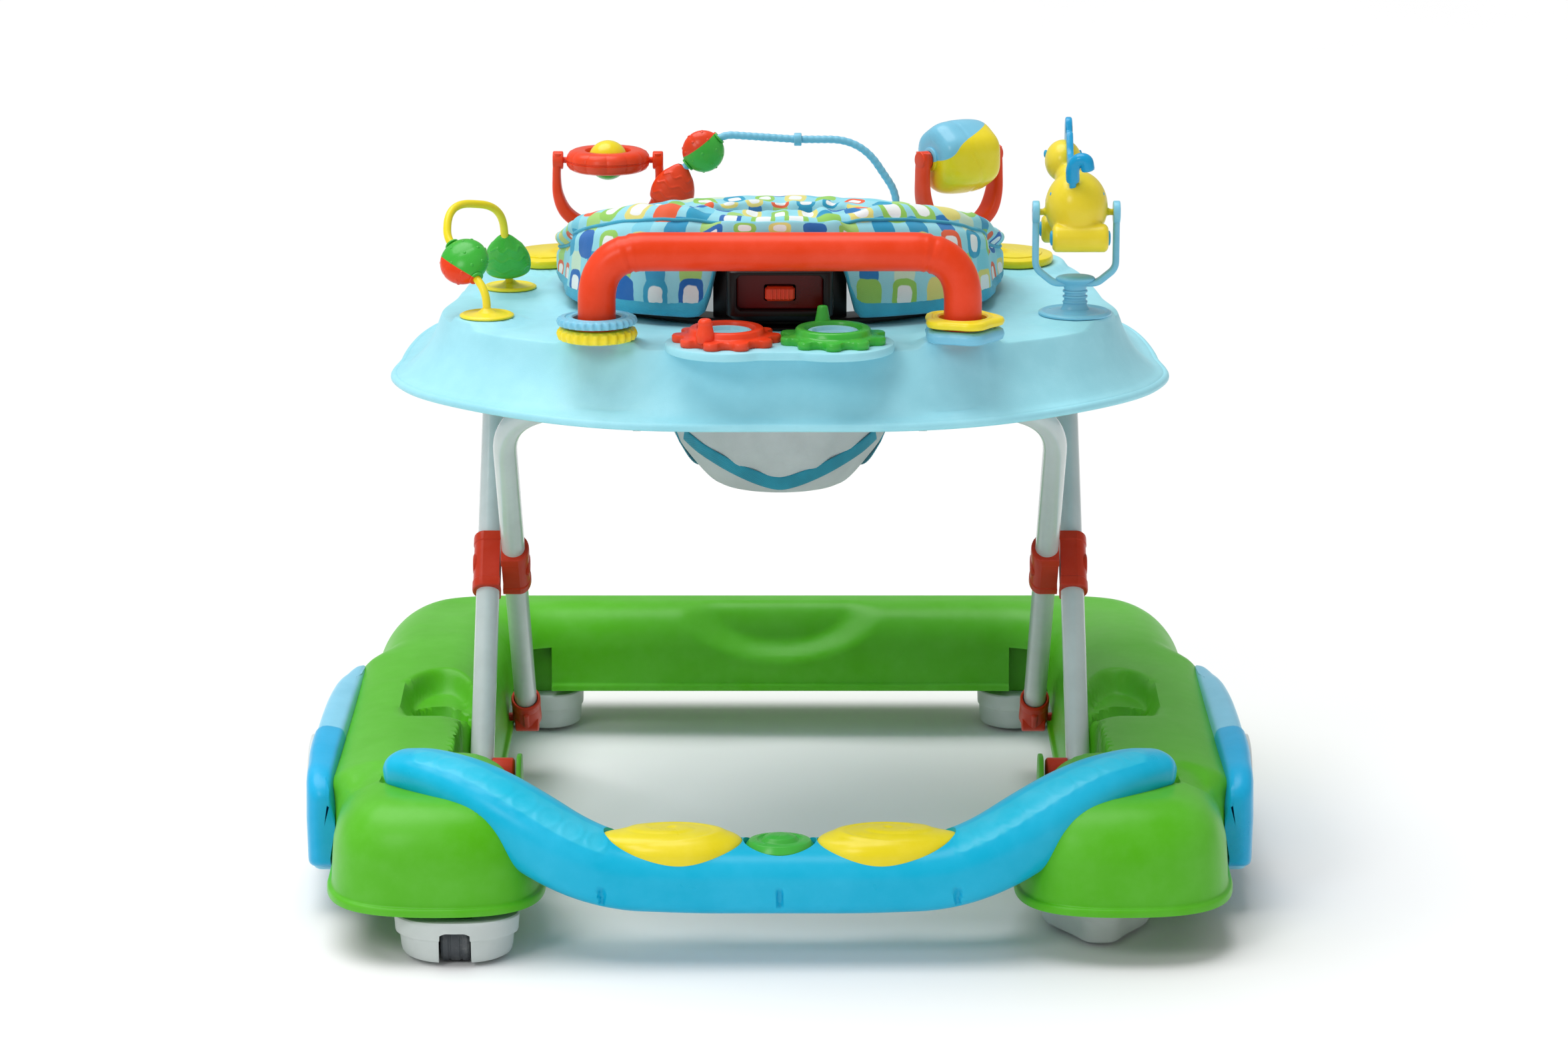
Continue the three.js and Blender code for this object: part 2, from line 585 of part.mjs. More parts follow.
// Brackets under the tray. The near cross bar turns in the near one, and the far bar slides along the
// far one's slots.
const RACK_X = 105;
const RACK_PLATE = 6;
const underTray = loft(traySurface(TRAY_SKIN + 0.5));
function tubeRack(y0, y1, bar0, bar1, bridgeY) {
  const span = y1 - y0;
  const middle = (y0 + y1) / 2;
  const low = LEG_TOP_Z - TUBE_R - 6;
  const plate = (x) => {
    const hanger = solid(box(RACK_PLATE, span, 60, x, middle, TRAY_RIM_Z + 29)).intersect(solid(underTray));
    const high = TRAY_RIM_Z + 0.5;
    const body = hanger.add(solid(box(RACK_PLATE, span, high - low, x, middle, (high + low) / 2)));
    const slot = join(
      rod("x", TUBE_R + 1, 20, x, bar0, LEG_TOP_Z, 12),
      rod("x", TUBE_R + 1, 20, x, bar1, LEG_TOP_Z, 12),
      box(20, bar1 - bar0 + 0.1, 2 * TUBE_R + 1.8, x, (bar0 + bar1) / 2, LEG_TOP_Z),
    );
    return geometryOf(body.subtract(solid(slot)));
  };
  const bridge = box(2 * RACK_X, 12, 4, 0, bridgeY, TRAY_RIM_Z + 4);
  return join(plate(-RACK_X), plate(RACK_X), bridge);
}
const NEAR_BAR_Y = CROSS_Y - TOP_SPAN;
const FAR_BAR_Y = CROSS_Y + TOP_SPAN;
const nearRack = tubeRack(NEAR_BAR_Y - 16, NEAR_BAR_Y + 16, NEAR_BAR_Y, NEAR_BAR_Y, NEAR_BAR_Y - 8);
add("tube_rack_near", nearRack, "white");
const rackEnd = FAR_BAR_Y + BAR_TRAVEL + TUBE_R + 4;
const farRack = tubeRack(FAR_BAR_Y - 14, rackEnd, FAR_BAR_Y, rackEnd - TUBE_R - 4, FAR_BAR_Y - 8);
add("tube_rack_far", farRack, "white");

// Yellow corner plates beside the seat.
function cornerPlate() {
  const outline = [
    [162, 44],
    [186, 36],
    [206, 50],
    [212, 78],
    [198, 104],
    [168, 118],
    [150, 112],
    [166, 78],
  ];
  return slab(outline, TRAY_TOP_Z + 0.5, TRAY_TOP_Z + 8);
}
pair("corner_plate", cornerPlate(), "yellow");

// ---------- seat ----------
const SEAT_FRAME = [[128, 404], [136, 404], [140, 432], [141, 434.6], [158, 434.6], [159, 440], [134, 440]];
const seatFrame = lathe(SEAT_FRAME, 28);
add("seat_ring", seatFrame.translate(0, SEAT_Y, 0), "white");

// The padded cover: a ring that is highest at its near side, with a skirt that hangs outside the seat ring.
function padTop(a) {
  return mix(484, 521, smooth(-0.2, 0.9, -Math.sin(a)));
}
function seatPad() {
  const gap = 0.29; // half angle of the opening in the skirt at the near side
  const start = -Math.PI / 2 + gap;
  const turn = TAU - 2 * gap;
  const section = [
    [146, 0],
    [167, 0],
    [172, 0.4],
    [167, 0.84],
    [149, 1],
    [130, 0.9],
    [122, 0.6],
    [138, 0.28],
  ];
  const upper = section.map(([r, t]) => [r, mix(0.62, 1, t)]); // the roll that runs on over the gap
  const ringAt = (outline, a) =>
    outline.map(([r, t]) => v3(r * Math.cos(a), SEAT_Y + r * Math.sin(a), mix(442, padTop(a), t)));
  const skirted = range(27).map((i) => ringAt(section, start + (turn * i) / 26));
  const bridge = range(7).map((i) => ringAt(upper, start + 0.05 - ((2 * gap + 0.1) * i) / 6));
  return join(loft(skirted), loft(bridge));
}
add("seat_pad", seatPad(), "print");

// The sling: a fabric bowl with two leg openings.
function seatSling() {
  const bowl = (grow) =>
    loft(
      [[282, 34], [290, 60], [312, 78], [362, 96], [436, 124]].map(([z, r]) =>
        ellipse(20, r - grow, (r - grow) * 0.98, 0, SEAT_Y, z + grow),
      ),
    );
  const leg = (side) => rod("x", 44, 120, side * 92, SEAT_Y + 24, 346, 12);
  return cut(bowl(0), bowl(4), leg(1), leg(-1));
}
add("seat_sling", seatSling(), "sling");

// The seat lock in the skirt's gap: a housing with a window at the handle end, and its button.
const LOCK_Y = -200;
const LOCK_Z = 462;
const lockWindow = box(64, 20, 27, 0, LOCK_Y - 6, LOCK_Z + 1);
add("lock_housing", cut(box(78, 24, 41, 0, LOCK_Y, LOCK_Z), lockWindow), "black");
add("lock_button", box(22, 9, 11, 0, LOCK_Y - 5, LOCK_Z), "red");

// ---------- push handle and its rings ----------
const HANDLE_X = 131;
const HANDLE_Y = -236;
const HANDLE_R = 14;
const HANDLE_Z = 498;
const handleLine = rounded(
  [
    v3(-HANDLE_X, HANDLE_Y, TRAY_TOP_Z + 1.5),
    v3(-HANDLE_X, HANDLE_Y, HANDLE_Z),
    v3(HANDLE_X, HANDLE_Y, HANDLE_Z),
    v3(HANDLE_X, HANDLE_Y, TRAY_TOP_Z + 1.5),
  ],
  34,
  3,
);
add("push_handle", wire(handleLine, HANDLE_R, 12), "red");
function playRing(lobes, x, z) {
  const sides = 20;
  const ring = (r, up, wave) =>
    range(sides).map((i) => {
      const a = (TAU * i) / sides;
      const reach = r + wave * Math.cos(lobes * a);
      return v3(x + reach * Math.cos(a), HANDLE_Y + reach * Math.sin(a), z + up);
    });
  const w = lobes === 5 ? 2.2 : 0;
  const rings = [ring(17.5, 0, 0), ring(27, 0, w), ring(29, 3.2, w), ring(27, 6.4, w), ring(17.5, 6.4, 0)];
  return loft(rings, true);
}
add("ring_left_lower", playRing(0, -HANDLE_X, TRAY_TOP_Z + 3), "yellow");
add("ring_left_upper", playRing(0, -HANDLE_X, TRAY_TOP_Z + 11), "pale");
add("ring_right_lower", playRing(5, HANDLE_X, TRAY_TOP_Z + 3), "pale");
add("ring_right_upper", playRing(5, HANDLE_X, TRAY_TOP_Z + 11), "yellow");

// ---------- gears ----------
const TEETH = 10;
function gear(x, phase, pegAngle) {
  const toothed = range(TEETH * 4).map((i) => {
    const a = (TAU * i) / (TEETH * 4);
    const r = 35.6 + 3.7 * Math.cos(TEETH * (a - phase));
    return [r * Math.cos(a), r * Math.sin(a)];
  });
  const disc = slab(toothed, 0, 6);
  const crown = rod("z", 27, 11, 0, 0, 5.5, 20);
  const peg = rod("z", 4.6, 18, 28 * Math.cos(pegAngle), 28 * Math.sin(pegAngle), 9, 8);
  return cut(join(disc, crown, peg), rod("z", 20, 40, 0, 0, 5, 16)).translate(x, GEAR_Y, TRAY_TOP_Z + 1.2);
}
add("gear_red", gear(-GEAR_X, 0, THREE.MathUtils.degToRad(-122)), "red");
add("gear_green", gear(GEAR_X, Math.PI / TEETH, THREE.MathUtils.degToRad(105)), "leaf");

// ---------- bead loop on the left ----------
const loopFoot = (x, y) =>
  lathe([[0, 0], [20, 0], [19, 2], [0, 4]], 16).translate(x, y, TRAY_TOP_Z + 0.4);
const LOOP = [
  v3(-215, -150, 436),
  v3(-215, -150, 452),
  v3(-246, -112, 486),
  v3(-244, -92, 516),
  v3(-208, -66, 502),
  v3(-204, -38, 436),
];
add("bead_loop", join(wire(rounded(LOOP, 16, 2), 3), loopFoot(-215, -150), loopFoot(-204, -38)), "yellow");
// A bead made along +Z, then set on the straight run between two loop points.
function threaded(geometry, from, to, share) {
  const along = to.clone().sub(from).normalize();
  const turn = new THREE.Quaternion().setFromUnitVectors(v3(0, 0, 1), along);
  const bored = cut(geometry, rod("z", 4.2, 90, 0, 0, 0, 8));
  return bored.applyQuaternion(turn).translate(...from.clone().lerp(to, share).toArray());
}
const roundBead = (r = 18.5) => egg(r, r * 0.62, r, 0, 0, 0, 12, 8);
function coneBead(w, h) {
  const rings = [[-0.5, 0.55], [-0.38, 0.92], [-0.1, 1], [0.25, 0.72], [0.45, 0.34], [0.5, 0.2]];
  return loft(rings.map(([t, s]) => ellipse(12, w * s, w * 0.58 * s, 0, 0, h * t)));
}
add("bead_round", threaded(roundBead(), LOOP[1], LOOP[2], 0.56), "leaf");
add("bead_cone", threaded(coneBead(18, 36), LOOP[5], LOOP[4], 0.4), "leaf");

// ---------- spinner, far left ----------
const SPIN = v3(-138, 205, 492);
const AXLE_R = 2.5;
const FORK_TIP = 6; // how far a fork's arms reach past its axle
const fork = (halfWidth, top, arm) => {
  const right = [v3(halfWidth * 0.4, 0, 6), v3(halfWidth, 0, top * 0.42), v3(halfWidth, 0, top)];
  const left = right.map((p) => v3(-p.x, 0, p.z)).reverse();
  const points = rounded([...left, ...right], 14, 2);
  const body = join(wire(points, arm).scale(1, 1.5, 1), rod("z", 17, 6, 0, 0, 3.4, 14));
  return cut(body, rod("x", AXLE_R + 0.7, 4 * halfWidth, 0, 0, top - FORK_TIP, 8));
};
const spinHeight = SPIN.z - TRAY_TOP_Z - 0.4;
const spinnerFork = fork(40, spinHeight + FORK_TIP, 3.8).translate(SPIN.x, SPIN.y, TRAY_TOP_Z + 0.4);
add("spinner_fork", spinnerFork, "red");
const spinnerDisc = join(
  lathe([[18, -8], [28, -8.5], [33, -4], [34, 0], [33, 4], [28, 8.5], [18, 8]], 20),
  rod("x", AXLE_R, 79, 0, 0, 0, 8),
);
add("spinner_disc", spinnerDisc.translate(...SPIN.toArray()), "red");
const spinnerBall = cut(ball(16, 0, 0, 0, 14, 10), rod("x", AXLE_R + 0.7, 60, 0, 0, 0, 8));
add("spinner_ball", spinnerBall.translate(...SPIN.toArray()), "yellow");

// ---------- wire arch, far centre ----------
const ARCH_Y = 184;
const ARCH = [
  v3(-92, ARCH_Y, 437),
  v3(-92, ARCH_Y, 452),
  v3(-80, ARCH_Y, 486),
  v3(-46, ARCH_Y, 516),
  v3(14, ARCH_Y, 512),
  v3(64, ARCH_Y, 512),
  v3(92, ARCH_Y, 470),
  v3(94, ARCH_Y, 437),
];
const archFoot = (x) => lathe([[0, 0], [14, 0], [13, 2], [0, 4]], 14).translate(x, ARCH_Y, TRAY_TOP_Z + 0.4);
add("wire_arch", join(wire(rounded(ARCH, 14, 2), 3), archFoot(-92), archFoot(94)), "pale");
add("arch_cone", threaded(coneBead(15.5, 32), ARCH[1], ARCH[2], 0.52), "red");
add("arch_bead", threaded(roundBead(17), ARCH[2], ARCH[3], 0.55), "leaf");

// ---------- rolling barrel, far right ----------
const BARREL = v3(143, 198, 496);
const BARREL_TURN = THREE.MathUtils.degToRad(32);
const barrelFork = fork(34, BARREL.z - TRAY_TOP_Z - 0.4 + FORK_TIP, 4.6).rotateZ(BARREL_TURN);
add("barrel_fork", barrelFork.translate(BARREL.x, BARREL.y, TRAY_TOP_Z + 0.4), "red");
const BARREL_PROFILE = [[-27, 12], [-24, 20], [-12, 26], [4, 29], [18, 26], [25, 19], [27, 11]];
const barrelSkin = loft(BARREL_PROFILE.map(([x, r]) => ellipse(16, r, r, 0, 0, x)));
const barrel = join(barrelSkin.rotateY(Math.PI / 2), rod("x", AXLE_R, 67, 0, 0, 0, 8));
add("barrel", barrel.rotateZ(BARREL_TURN).translate(...BARREL.toArray()), "yellow");

// ---------- dinosaur on its yoke, near right ----------
const DINO = v3(217, -140, 510);
const YOKE_X = 29.5;
const YOKE_TOP = DINO.z - TRAY_TOP_Z - 0.4;
function dinoYoke() {
  const right = [v3(16, 0, 22), v3(YOKE_X, 0, 34), v3(YOKE_X, 0, YOKE_TOP)];
  const left = right.map((p) => v3(-p.x, 0, p.z)).reverse();
  const arm = rounded([...left, ...right], 9, 2);
  const stem = loft([[2, 9], [8, 8], [20, 8], [26, 14]].map(([z, r]) => ellipse(12, r, r * 0.7, 0, 0, z)));
  const foot = lathe([[0, 0], [27, 0], [26, 2], [0, 3]], 18);
  const eyes = [-1, 1].map((s) => rod("x", 5.4, 5, s * YOKE_X, 0, YOKE_TOP, 10));
  const bore = rod("x", AXLE_R + 0.7, 90, 0, 0, YOKE_TOP, 8);
  return cut(join(wire(arm, 2.6), stem, foot, ...eyes), bore).translate(DINO.x, DINO.y, TRAY_TOP_Z + 0.4);
}
add("dino_yoke", dinoYoke(), "pale");
function dinoBody(grow = 0) {
  return join(
    egg(23.5 + grow, 27 + grow, 27 + grow, 0, 0, -2, 12, 8),
    egg(14 + grow, 18 + grow, 16 + grow, -8, 36, 26, 10, 6),
    egg(11 + grow, 16 + grow, 14 + grow, -4, 22, 14, 8, 6),
    rod("x", 10.5 + grow, 42, 2, -19, -22, 12),
    rod("x", 10.5 + grow, 40, -4, 20, -22, 12),
    rod("x", AXLE_R, 58, 0, 0, 0, 6),
  ).translate(...DINO.toArray());
}
add("dino_body", dinoBody(), "yellow");
// The spines and tail: a flat crest in the Y-Z plane that stops short of the body.
function dinoCrest() {
  const outline = [
    [52, 52],
    [38, 57],
    [30, 47],
    [22, 45],
    [14, 34],
    [6, 33],
    [-4, 30],
    [-22, 22],
    [-34, 18],
    [-34, 12],
    [-20, 4],
    [0, 6],
    [30, 6],
    [52, 30],
  ];
  const crest = indexed(slab(outline, -2.4, 2.4).applyMatrix4(UPRIGHT)).translate(DINO.x - 4, DINO.y, DINO.z);
  const pieces = solid(crest).subtract(solid(dinoBody(0.4))).decompose();
  return geometryOf(pieces.sort((a, b) => b.volume() - a.volume())[0]);
}
add("dino_crest", dinoCrest(), "blue");

export default walker;
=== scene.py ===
"""A baby walker's looks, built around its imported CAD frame.

Shapes are written in millimetres in the frame's own axes (+Z up, -Y the handle end, origin on the
floor under the centre) and become metres when a mesh is made.
"""

import math

import bmesh
import bpy
import numpy as np
from mathutils import Matrix, Vector


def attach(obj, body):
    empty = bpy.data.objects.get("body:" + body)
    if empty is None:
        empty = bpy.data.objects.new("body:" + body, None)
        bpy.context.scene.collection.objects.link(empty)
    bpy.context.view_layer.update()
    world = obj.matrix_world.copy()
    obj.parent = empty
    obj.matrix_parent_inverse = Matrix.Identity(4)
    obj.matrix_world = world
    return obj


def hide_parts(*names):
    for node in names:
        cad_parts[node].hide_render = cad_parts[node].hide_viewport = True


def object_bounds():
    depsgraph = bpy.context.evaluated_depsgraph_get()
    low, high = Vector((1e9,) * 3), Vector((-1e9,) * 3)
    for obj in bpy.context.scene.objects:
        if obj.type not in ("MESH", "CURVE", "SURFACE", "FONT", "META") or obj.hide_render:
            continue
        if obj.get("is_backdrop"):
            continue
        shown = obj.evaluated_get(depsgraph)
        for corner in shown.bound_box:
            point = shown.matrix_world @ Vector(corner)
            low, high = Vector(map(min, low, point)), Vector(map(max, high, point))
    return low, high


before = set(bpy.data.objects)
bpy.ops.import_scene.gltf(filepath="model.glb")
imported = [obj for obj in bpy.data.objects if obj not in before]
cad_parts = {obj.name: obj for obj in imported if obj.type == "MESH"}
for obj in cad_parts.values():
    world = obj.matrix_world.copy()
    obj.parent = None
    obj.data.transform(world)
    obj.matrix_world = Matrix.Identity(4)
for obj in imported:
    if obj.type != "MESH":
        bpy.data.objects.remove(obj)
cad_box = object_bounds()

MM = 0.001
LEG_OUTER_X, LEG_INNER_X = 225, 205  # the crossed tubes, from the middle
TUBE_R = 9
CASTER_X, CASTER_Y = 232, 288
TAU = 2 * math.pi
Z = Vector((0, 0, 1))

# ---------------------------------------------------------------- camera, floor and light
camera = bpy.data.objects.new("camera", bpy.data.cameras.new("camera"))
camera.location = (0.003, -3.695, 1.130)
camera.rotation_euler = (math.radians(90 - 13.51), 0, 0)
camera.data.lens = 112.95
camera.data.sensor_width = 36
bpy.context.scene.collection.objects.link(camera)
bpy.context.scene.camera = camera


def srgb(r, g, b, alpha=1.0):
    """A screen colour (0 to 255) as linear light."""
    linear = [c / 12.92 if c <= 0.04045 else ((c + 0.055) / 1.055) ** 2.4
              for c in (r / 255, g / 255, b / 255)]
    return (*linear, alpha)


def area_light(name, place, aim, size, watts, colour=(1, 1, 1)):
    light = bpy.data.lights.new(name, "AREA")
    light.shape = "DISK"
    light.size = size
    light.energy = watts
    light.color = colour
    lamp = bpy.data.objects.new(name, light)
    lamp.location = place
    lamp.rotation_euler = (Vector(aim) - Vector(place)).to_track_quat("-Z", "Y").to_euler()
    bpy.context.scene.collection.objects.link(lamp)


sun = bpy.data.lights.new("sky", "SUN")
sun.energy, sun.angle = 2.35, math.radians(50)
overhead = bpy.data.objects.new("sky", sun)
overhead.rotation_euler = Vector((-0.28, 0.12, 1)).to_track_quat("Z", "Y").to_euler()
bpy.context.scene.collection.objects.link(overhead)
area_light("window", (-1.6, -2.4, 2.2), (0, 0, 0.25), 1.1, 20)

world = bpy.data.worlds.new("studio")
bpy.context.scene.world = world
world.use_nodes = True
world.node_tree.nodes["Background"].inputs["Color"].default_value = (1.0, 1.0, 1.0, 1)
world.node_tree.nodes["Background"].inputs["Strength"].default_value = 0.42
bpy.context.scene.view_settings.view_transform = "Standard"


# ---------------------------------------------------------------- node trees
class Tree:
    """Short names for building a material's nodes."""

    def __init__(self, name):
        self.material = bpy.data.materials.new(name)
        self.material.use_nodes = True
        self.nodes = self.material.node_tree.nodes
        self.links = self.material.node_tree.links
        self.shader = self.nodes["Principled BSDF"]

    def put(self, socket, value):
        if isinstance(value, bpy.types.NodeSocket):
            self.links.new(value, socket)
        else:
            socket.default_value = value

    def node(self, kind, out=0, settings=(), **inputs):
        n = self.nodes.new(kind)
        for key, value in dict(settings).items():
            setattr(n, key, value)
        for key, value in inputs.items():
            self.put(n.inputs[key.replace("_", " ")], value)
        return n.outputs[out]

    def math(self, operation, a, b=0.0, c=0.0):
        n = self.nodes.new("ShaderNodeMath")
        n.operation = operation
        for socket, value in zip(n.inputs, (a, b, c)):
            self.put(socket, value)
        return n.outputs[0]

    def blend(self, share, a, b):
        n = self.nodes.new("ShaderNodeMix")
        n.data_type = "RGBA"
        for socket, value in ((n.inputs[0], share), (n.inputs[6], a), (n.inputs[7], b)):
            self.put(socket, value)
        return n.outputs[2]

    def step(self, value, low, high):
        """0 below low, 1 above high, smooth between them."""
        n = self.nodes.new("ShaderNodeMapRange")
        n.interpolation_type = "SMOOTHSTEP"
        for socket, v in zip(n.inputs, (value, low, high)):
            self.put(socket, v)
        return n.outputs[0]

    def position(self):
        return self.node("ShaderNodeTexCoord", out="Object")

    def attribute(self, name):
        return self.node("ShaderNodeAttribute", out="Fac", settings={"attribute_name": name})

    def noise(self, scale, detail=2.0, rough=0.5, vector=None):
        where = self.position() if vector is None else vector
        return self.node("ShaderNodeTexNoise", Vector=where, Scale=scale, Detail=detail, Roughness=rough)

    def bump(self, height, strength, distance, normal=None):
        n = self.nodes.new("ShaderNodeBump")
        n.inputs["Strength"].default_value = strength
        n.inputs["Distance"].default_value = distance
        self.put(n.inputs["Height"], height)
        if normal is not None:
            self.put(n.inputs["Normal"], normal)
        return n.outputs[0]

    def finish(self, **inputs):
        for key, value in inputs.items():
            self.put(self.shader.inputs[key.replace("_", " ")], value)
        return self.material


def shade(colour, factor):
    return (*(min(1.0, c * factor) for c in colour[:3]), 1)


def moulded(name, colour, rough=0.34, grain=0.25, coat=0.0, second=None, split=None, glow=0.0, worn=0.3):
    """Moulded plastic: cloudy pigment, paler worn edges, a fine surface grain and uneven gloss.
    split takes the tree and gives the share of the second colour at each point."""
    t = Tree(name)
    base = colour
    if second is not None:
        base = t.blend(split(t), colour, second)
    cloud = t.step(t.noise(14, 3), 0.3, 0.7)
    flow = t.step(t.noise(70, 4, 0.6), 0.35, 0.75)
    deep = t.node("ShaderNodeHueSaturation", Value=0.93, Saturation=1.04, Color=base)
    light = t.node("ShaderNodeHueSaturation", Value=1.05, Saturation=0.97, Color=base)
    tone = t.blend(t.math("ADD", t.math("MULTIPLY", cloud, 0.6), t.math("MULTIPLY", flow, 0.3)), deep,
                   light)
    edge = t.step(t.node("ShaderNodeNewGeometry", out="Pointiness"), 0.53, 0.62)
    pale = t.node("ShaderNodeHueSaturation", Value=1.16, Saturation=0.86, Color=tone)
    tone = t.blend(t.math("MULTIPLY", edge, worn), tone, pale)
    fine = t.noise(1500, 2)
    smear = t.noise(28, 3, 0.65)
    gloss = t.math("MULTIPLY_ADD", smear, 0.16, rough - 0.08)
    scuff = t.step(t.noise(310, 5, 0.8), 0.62, 0.74)
    gloss = t.math("MULTIPLY_ADD", scuff, 0.12, gloss)
    low = t.bump(t.noise(45, 2), 0.12, 0.0012)
    normal = t.bump(fine, grain, 0.00022, low)
    t.finish(Base_Color=tone, Roughness=gloss, Normal=normal)
    t.shader.inputs["Specular IOR Level"].default_value = 0.22
    t.shader.inputs["Coat Weight"].default_value = coat
    t.shader.inputs["Coat Roughness"].default_value = 0.18
    if glow:
        t.shader.inputs["Subsurface Weight"].default_value = glow
        t.shader.inputs["Subsurface Radius"].default_value = (0.006, 0.006, 0.006)
        t.shader.inputs["Subsurface Scale"].default_value = 1.0
    return t.material


def enamelled(name, colour):
    """Baked enamel on steel tube: smooth, a little mottled, with small chips and a fine grain."""
    t = Tree(name)
    mottle = t.step(t.noise(22, 4, 0.6), 0.3, 0.72)
    tone = t.blend(mottle, shade(colour, 0.93), shade(colour, 1.03))
    chips = t.step(t.noise(420, 4, 0.75), 0.735, 0.765)
    tone = t.blend(t.math("MULTIPLY", chips, 0.35), tone, srgb(150, 156, 158))
    gloss = t.math("MULTIPLY_ADD", t.noise(60, 3), 0.12, 0.18)
    t.finish(Base_Color=tone, Roughness=gloss, Normal=t.bump(t.noise(380, 2), 0.1, 0.0003))
    t.shader.inputs["Coat Weight"].default_value = 0.4
    t.shader.inputs["Coat Roughness"].default_value = 0.1
    return t.material


def rubber(name, colour):
    """Roller tread: dull, dusty in its pores."""
    t = Tree(name)
    dust = t.step(t.noise(90, 5, 0.7), 0.45, 0.75)
    tone = t.blend(t.math("MULTIPLY", dust, 0.5), colour, srgb(128, 130, 130))
    t.finish(Base_Color=tone, Roughness=t.math("MULTIPLY_ADD", dust, 0.15, 0.62))
    t.put(t.shader.inputs["Normal"], t.bump(t.noise(900, 3), 0.35, 0.0004))
    return t.material


def woven(t, along, across, pitch):
    """Height of a plain weave whose threads run along two measured directions, in metres."""
    k = TAU / pitch
    warp = t.math("SINE", t.math("MULTIPLY", along, k))
    weft = t.math("SINE", t.math("MULTIPLY", across, k))
    product = t.math("MULTIPLY", warp, weft)
    return t.math("MULTIPLY_ADD", product, 0.5, 0.5)


def floor_material():
    t = Tree("floor")
    tone = t.blend(t.noise(3, 3), (0.92, 0.92, 0.92, 1), (0.95, 0.95, 0.95, 1))
    return t.finish(Base_Color=tone, Roughness=0.6)


GREEN = srgb(92, 186, 42)
LEAF = srgb(70, 184, 66)
RED = srgb(240, 64, 14)
YELLOW = srgb(247, 226, 50)
SKY = srgb(162, 226, 240)
PALE = srgb(130, 202, 230)
WHITE = srgb(214, 220, 219)

# ---------------------------------------------------------------- mesh making


def smooth(low, high, x):
    t = np.clip((np.asarray(x, float) - low) / (high - low), 0, 1)
    return t * t * (3 - 2 * t)


def mix(a, b, t):
    return a + (b - a) * t


def skin(rows, close_rows=False, close_columns=True):
    """A part: the points of a grid of rows and the quads between them."""
    rows = np.asarray(rows, float)
    n, m = rows.shape[:2]
    i, j = np.meshgrid(
        np.arange(n if close_rows else n - 1), np.arange(m if close_columns else m - 1), indexing="ij"
    )
    i, j = i.ravel(), j.ravel()
    k, l = (i + 1) % n, (j + 1) % m
    faces = np.stack([i * m + j, i * m + l, k * m + l, k * m + j], 1)
    return rows.reshape(-1, 3), faces


def joined(parts):
    points, faces, count = [], [], 0
    for p, f in parts:
        points.append(p)
        faces.append(f + count)
        count += len(p)
    return np.concatenate(points), np.concatenate(faces)


def moved(part, matrix):
    points = np.c_[part[0], np.ones(len(part[0]))] @ np.array(matrix, float).T
    return points[:, :3], part[1]


def at(x, y, z):
    return Matrix.Translation((x, y, z))


def turn(degrees, axis):
    return Matrix.Rotation(math.radians(degrees), 4, axis)


def catmull(points, steps):
    """A smooth line through the points, with `steps` spans between each two."""
    p = np.asarray(points, float)
    p = np.vstack([2 * p[0] - p[1], p, 2 * p[-1] - p[-2]])
    t = np.linspace(0, 1, steps, endpoint=False)[:, None]
    spans = [
        0.5 * (2 * b + (c - a) * t + (2 * a - 5 * b + 4 * c - d) * t**2 + (3 * b - 3 * c + d - a) * t**3)
        for a, b, c, d in zip(p, p[1:], p[2:], p[3:])
    ]
    return np.vstack(spans + [p[-2]])


def filleted(corners, radius, steps=8):
    """Straight runs with each inner corner rounded."""
    corners = [Vector(c) for c in corners]
    radii = radius if hasattr(radius, "__len__") else [radius] * len(corners)
    out = [corners[0]]
    for before, corner, after, r in zip(corners, corners[1:], corners[2:], radii[1:]):
        a, b = (before - corner), (after - corner)
        angle = a.angle(b)
        reach = min(r / math.tan(angle / 2), a.length * 0.98, b.length * 0.98)
        start, end = corner + a.normalized() * reach, corner + b.normalized() * reach
        for i in range(steps + 1):
            t = i / steps
            out.append(start * (1 - t) ** 2 + corner * 2 * t * (1 - t) + end * t * t)
    out.append(corners[-1])
    return np.array([list(p) for p in out])


def resampled(points, spacing, closed=False):
    points = np.asarray(points, float)
    if closed:
        points = np.vstack([points, points[:1]])
    s = np.r_[0, np.cumsum(np.linalg.norm(np.diff(points, axis=0), axis=1))]
    count = max(2, int(round(s[-1] / spacing)) + 1)
    at_s = np.linspace(0, s[-1], count)
    out = np.stack([np.interp(at_s, s, points[:, k]) for k in range(points.shape[1])], 1)
    return out[:-1] if closed else out


def frames(points, closed=False, up=(0, 0, 1)):
    """Two directions square to a line at each of its points, without twist."""
    p = np.asarray(points, float)
    if closed:
        tangents = np.roll(p, -1, 0) - np.roll(p, 1, 0)
    else:
        tangents = np.gradient(p, axis=0)
    tangents /= np.linalg.norm(tangents, axis=1)[:, None]
    side = np.cross(np.array(up, float), tangents[0])
    if np.linalg.norm(side) < 0.1:
        side = np.cross((0.0, 1.0, 0.0), tangents[0])
    sides = []
    for t in tangents:
        side = side - t * np.dot(side, t)
        side /= np.linalg.norm(side)
        sides.append(side)
    sides = np.array(sides)
    return sides, np.cross(tangents, sides)


def oval(sides, power=1.0):
    """Unit points round a circle, or squarer below power 1."""
    a = TAU * np.arange(sides) / sides
    c, s = np.cos(a), np.sin(a)
    return np.stack([np.sign(c) * abs(c) ** power, np.sign(s) * abs(s) ** power], 1)


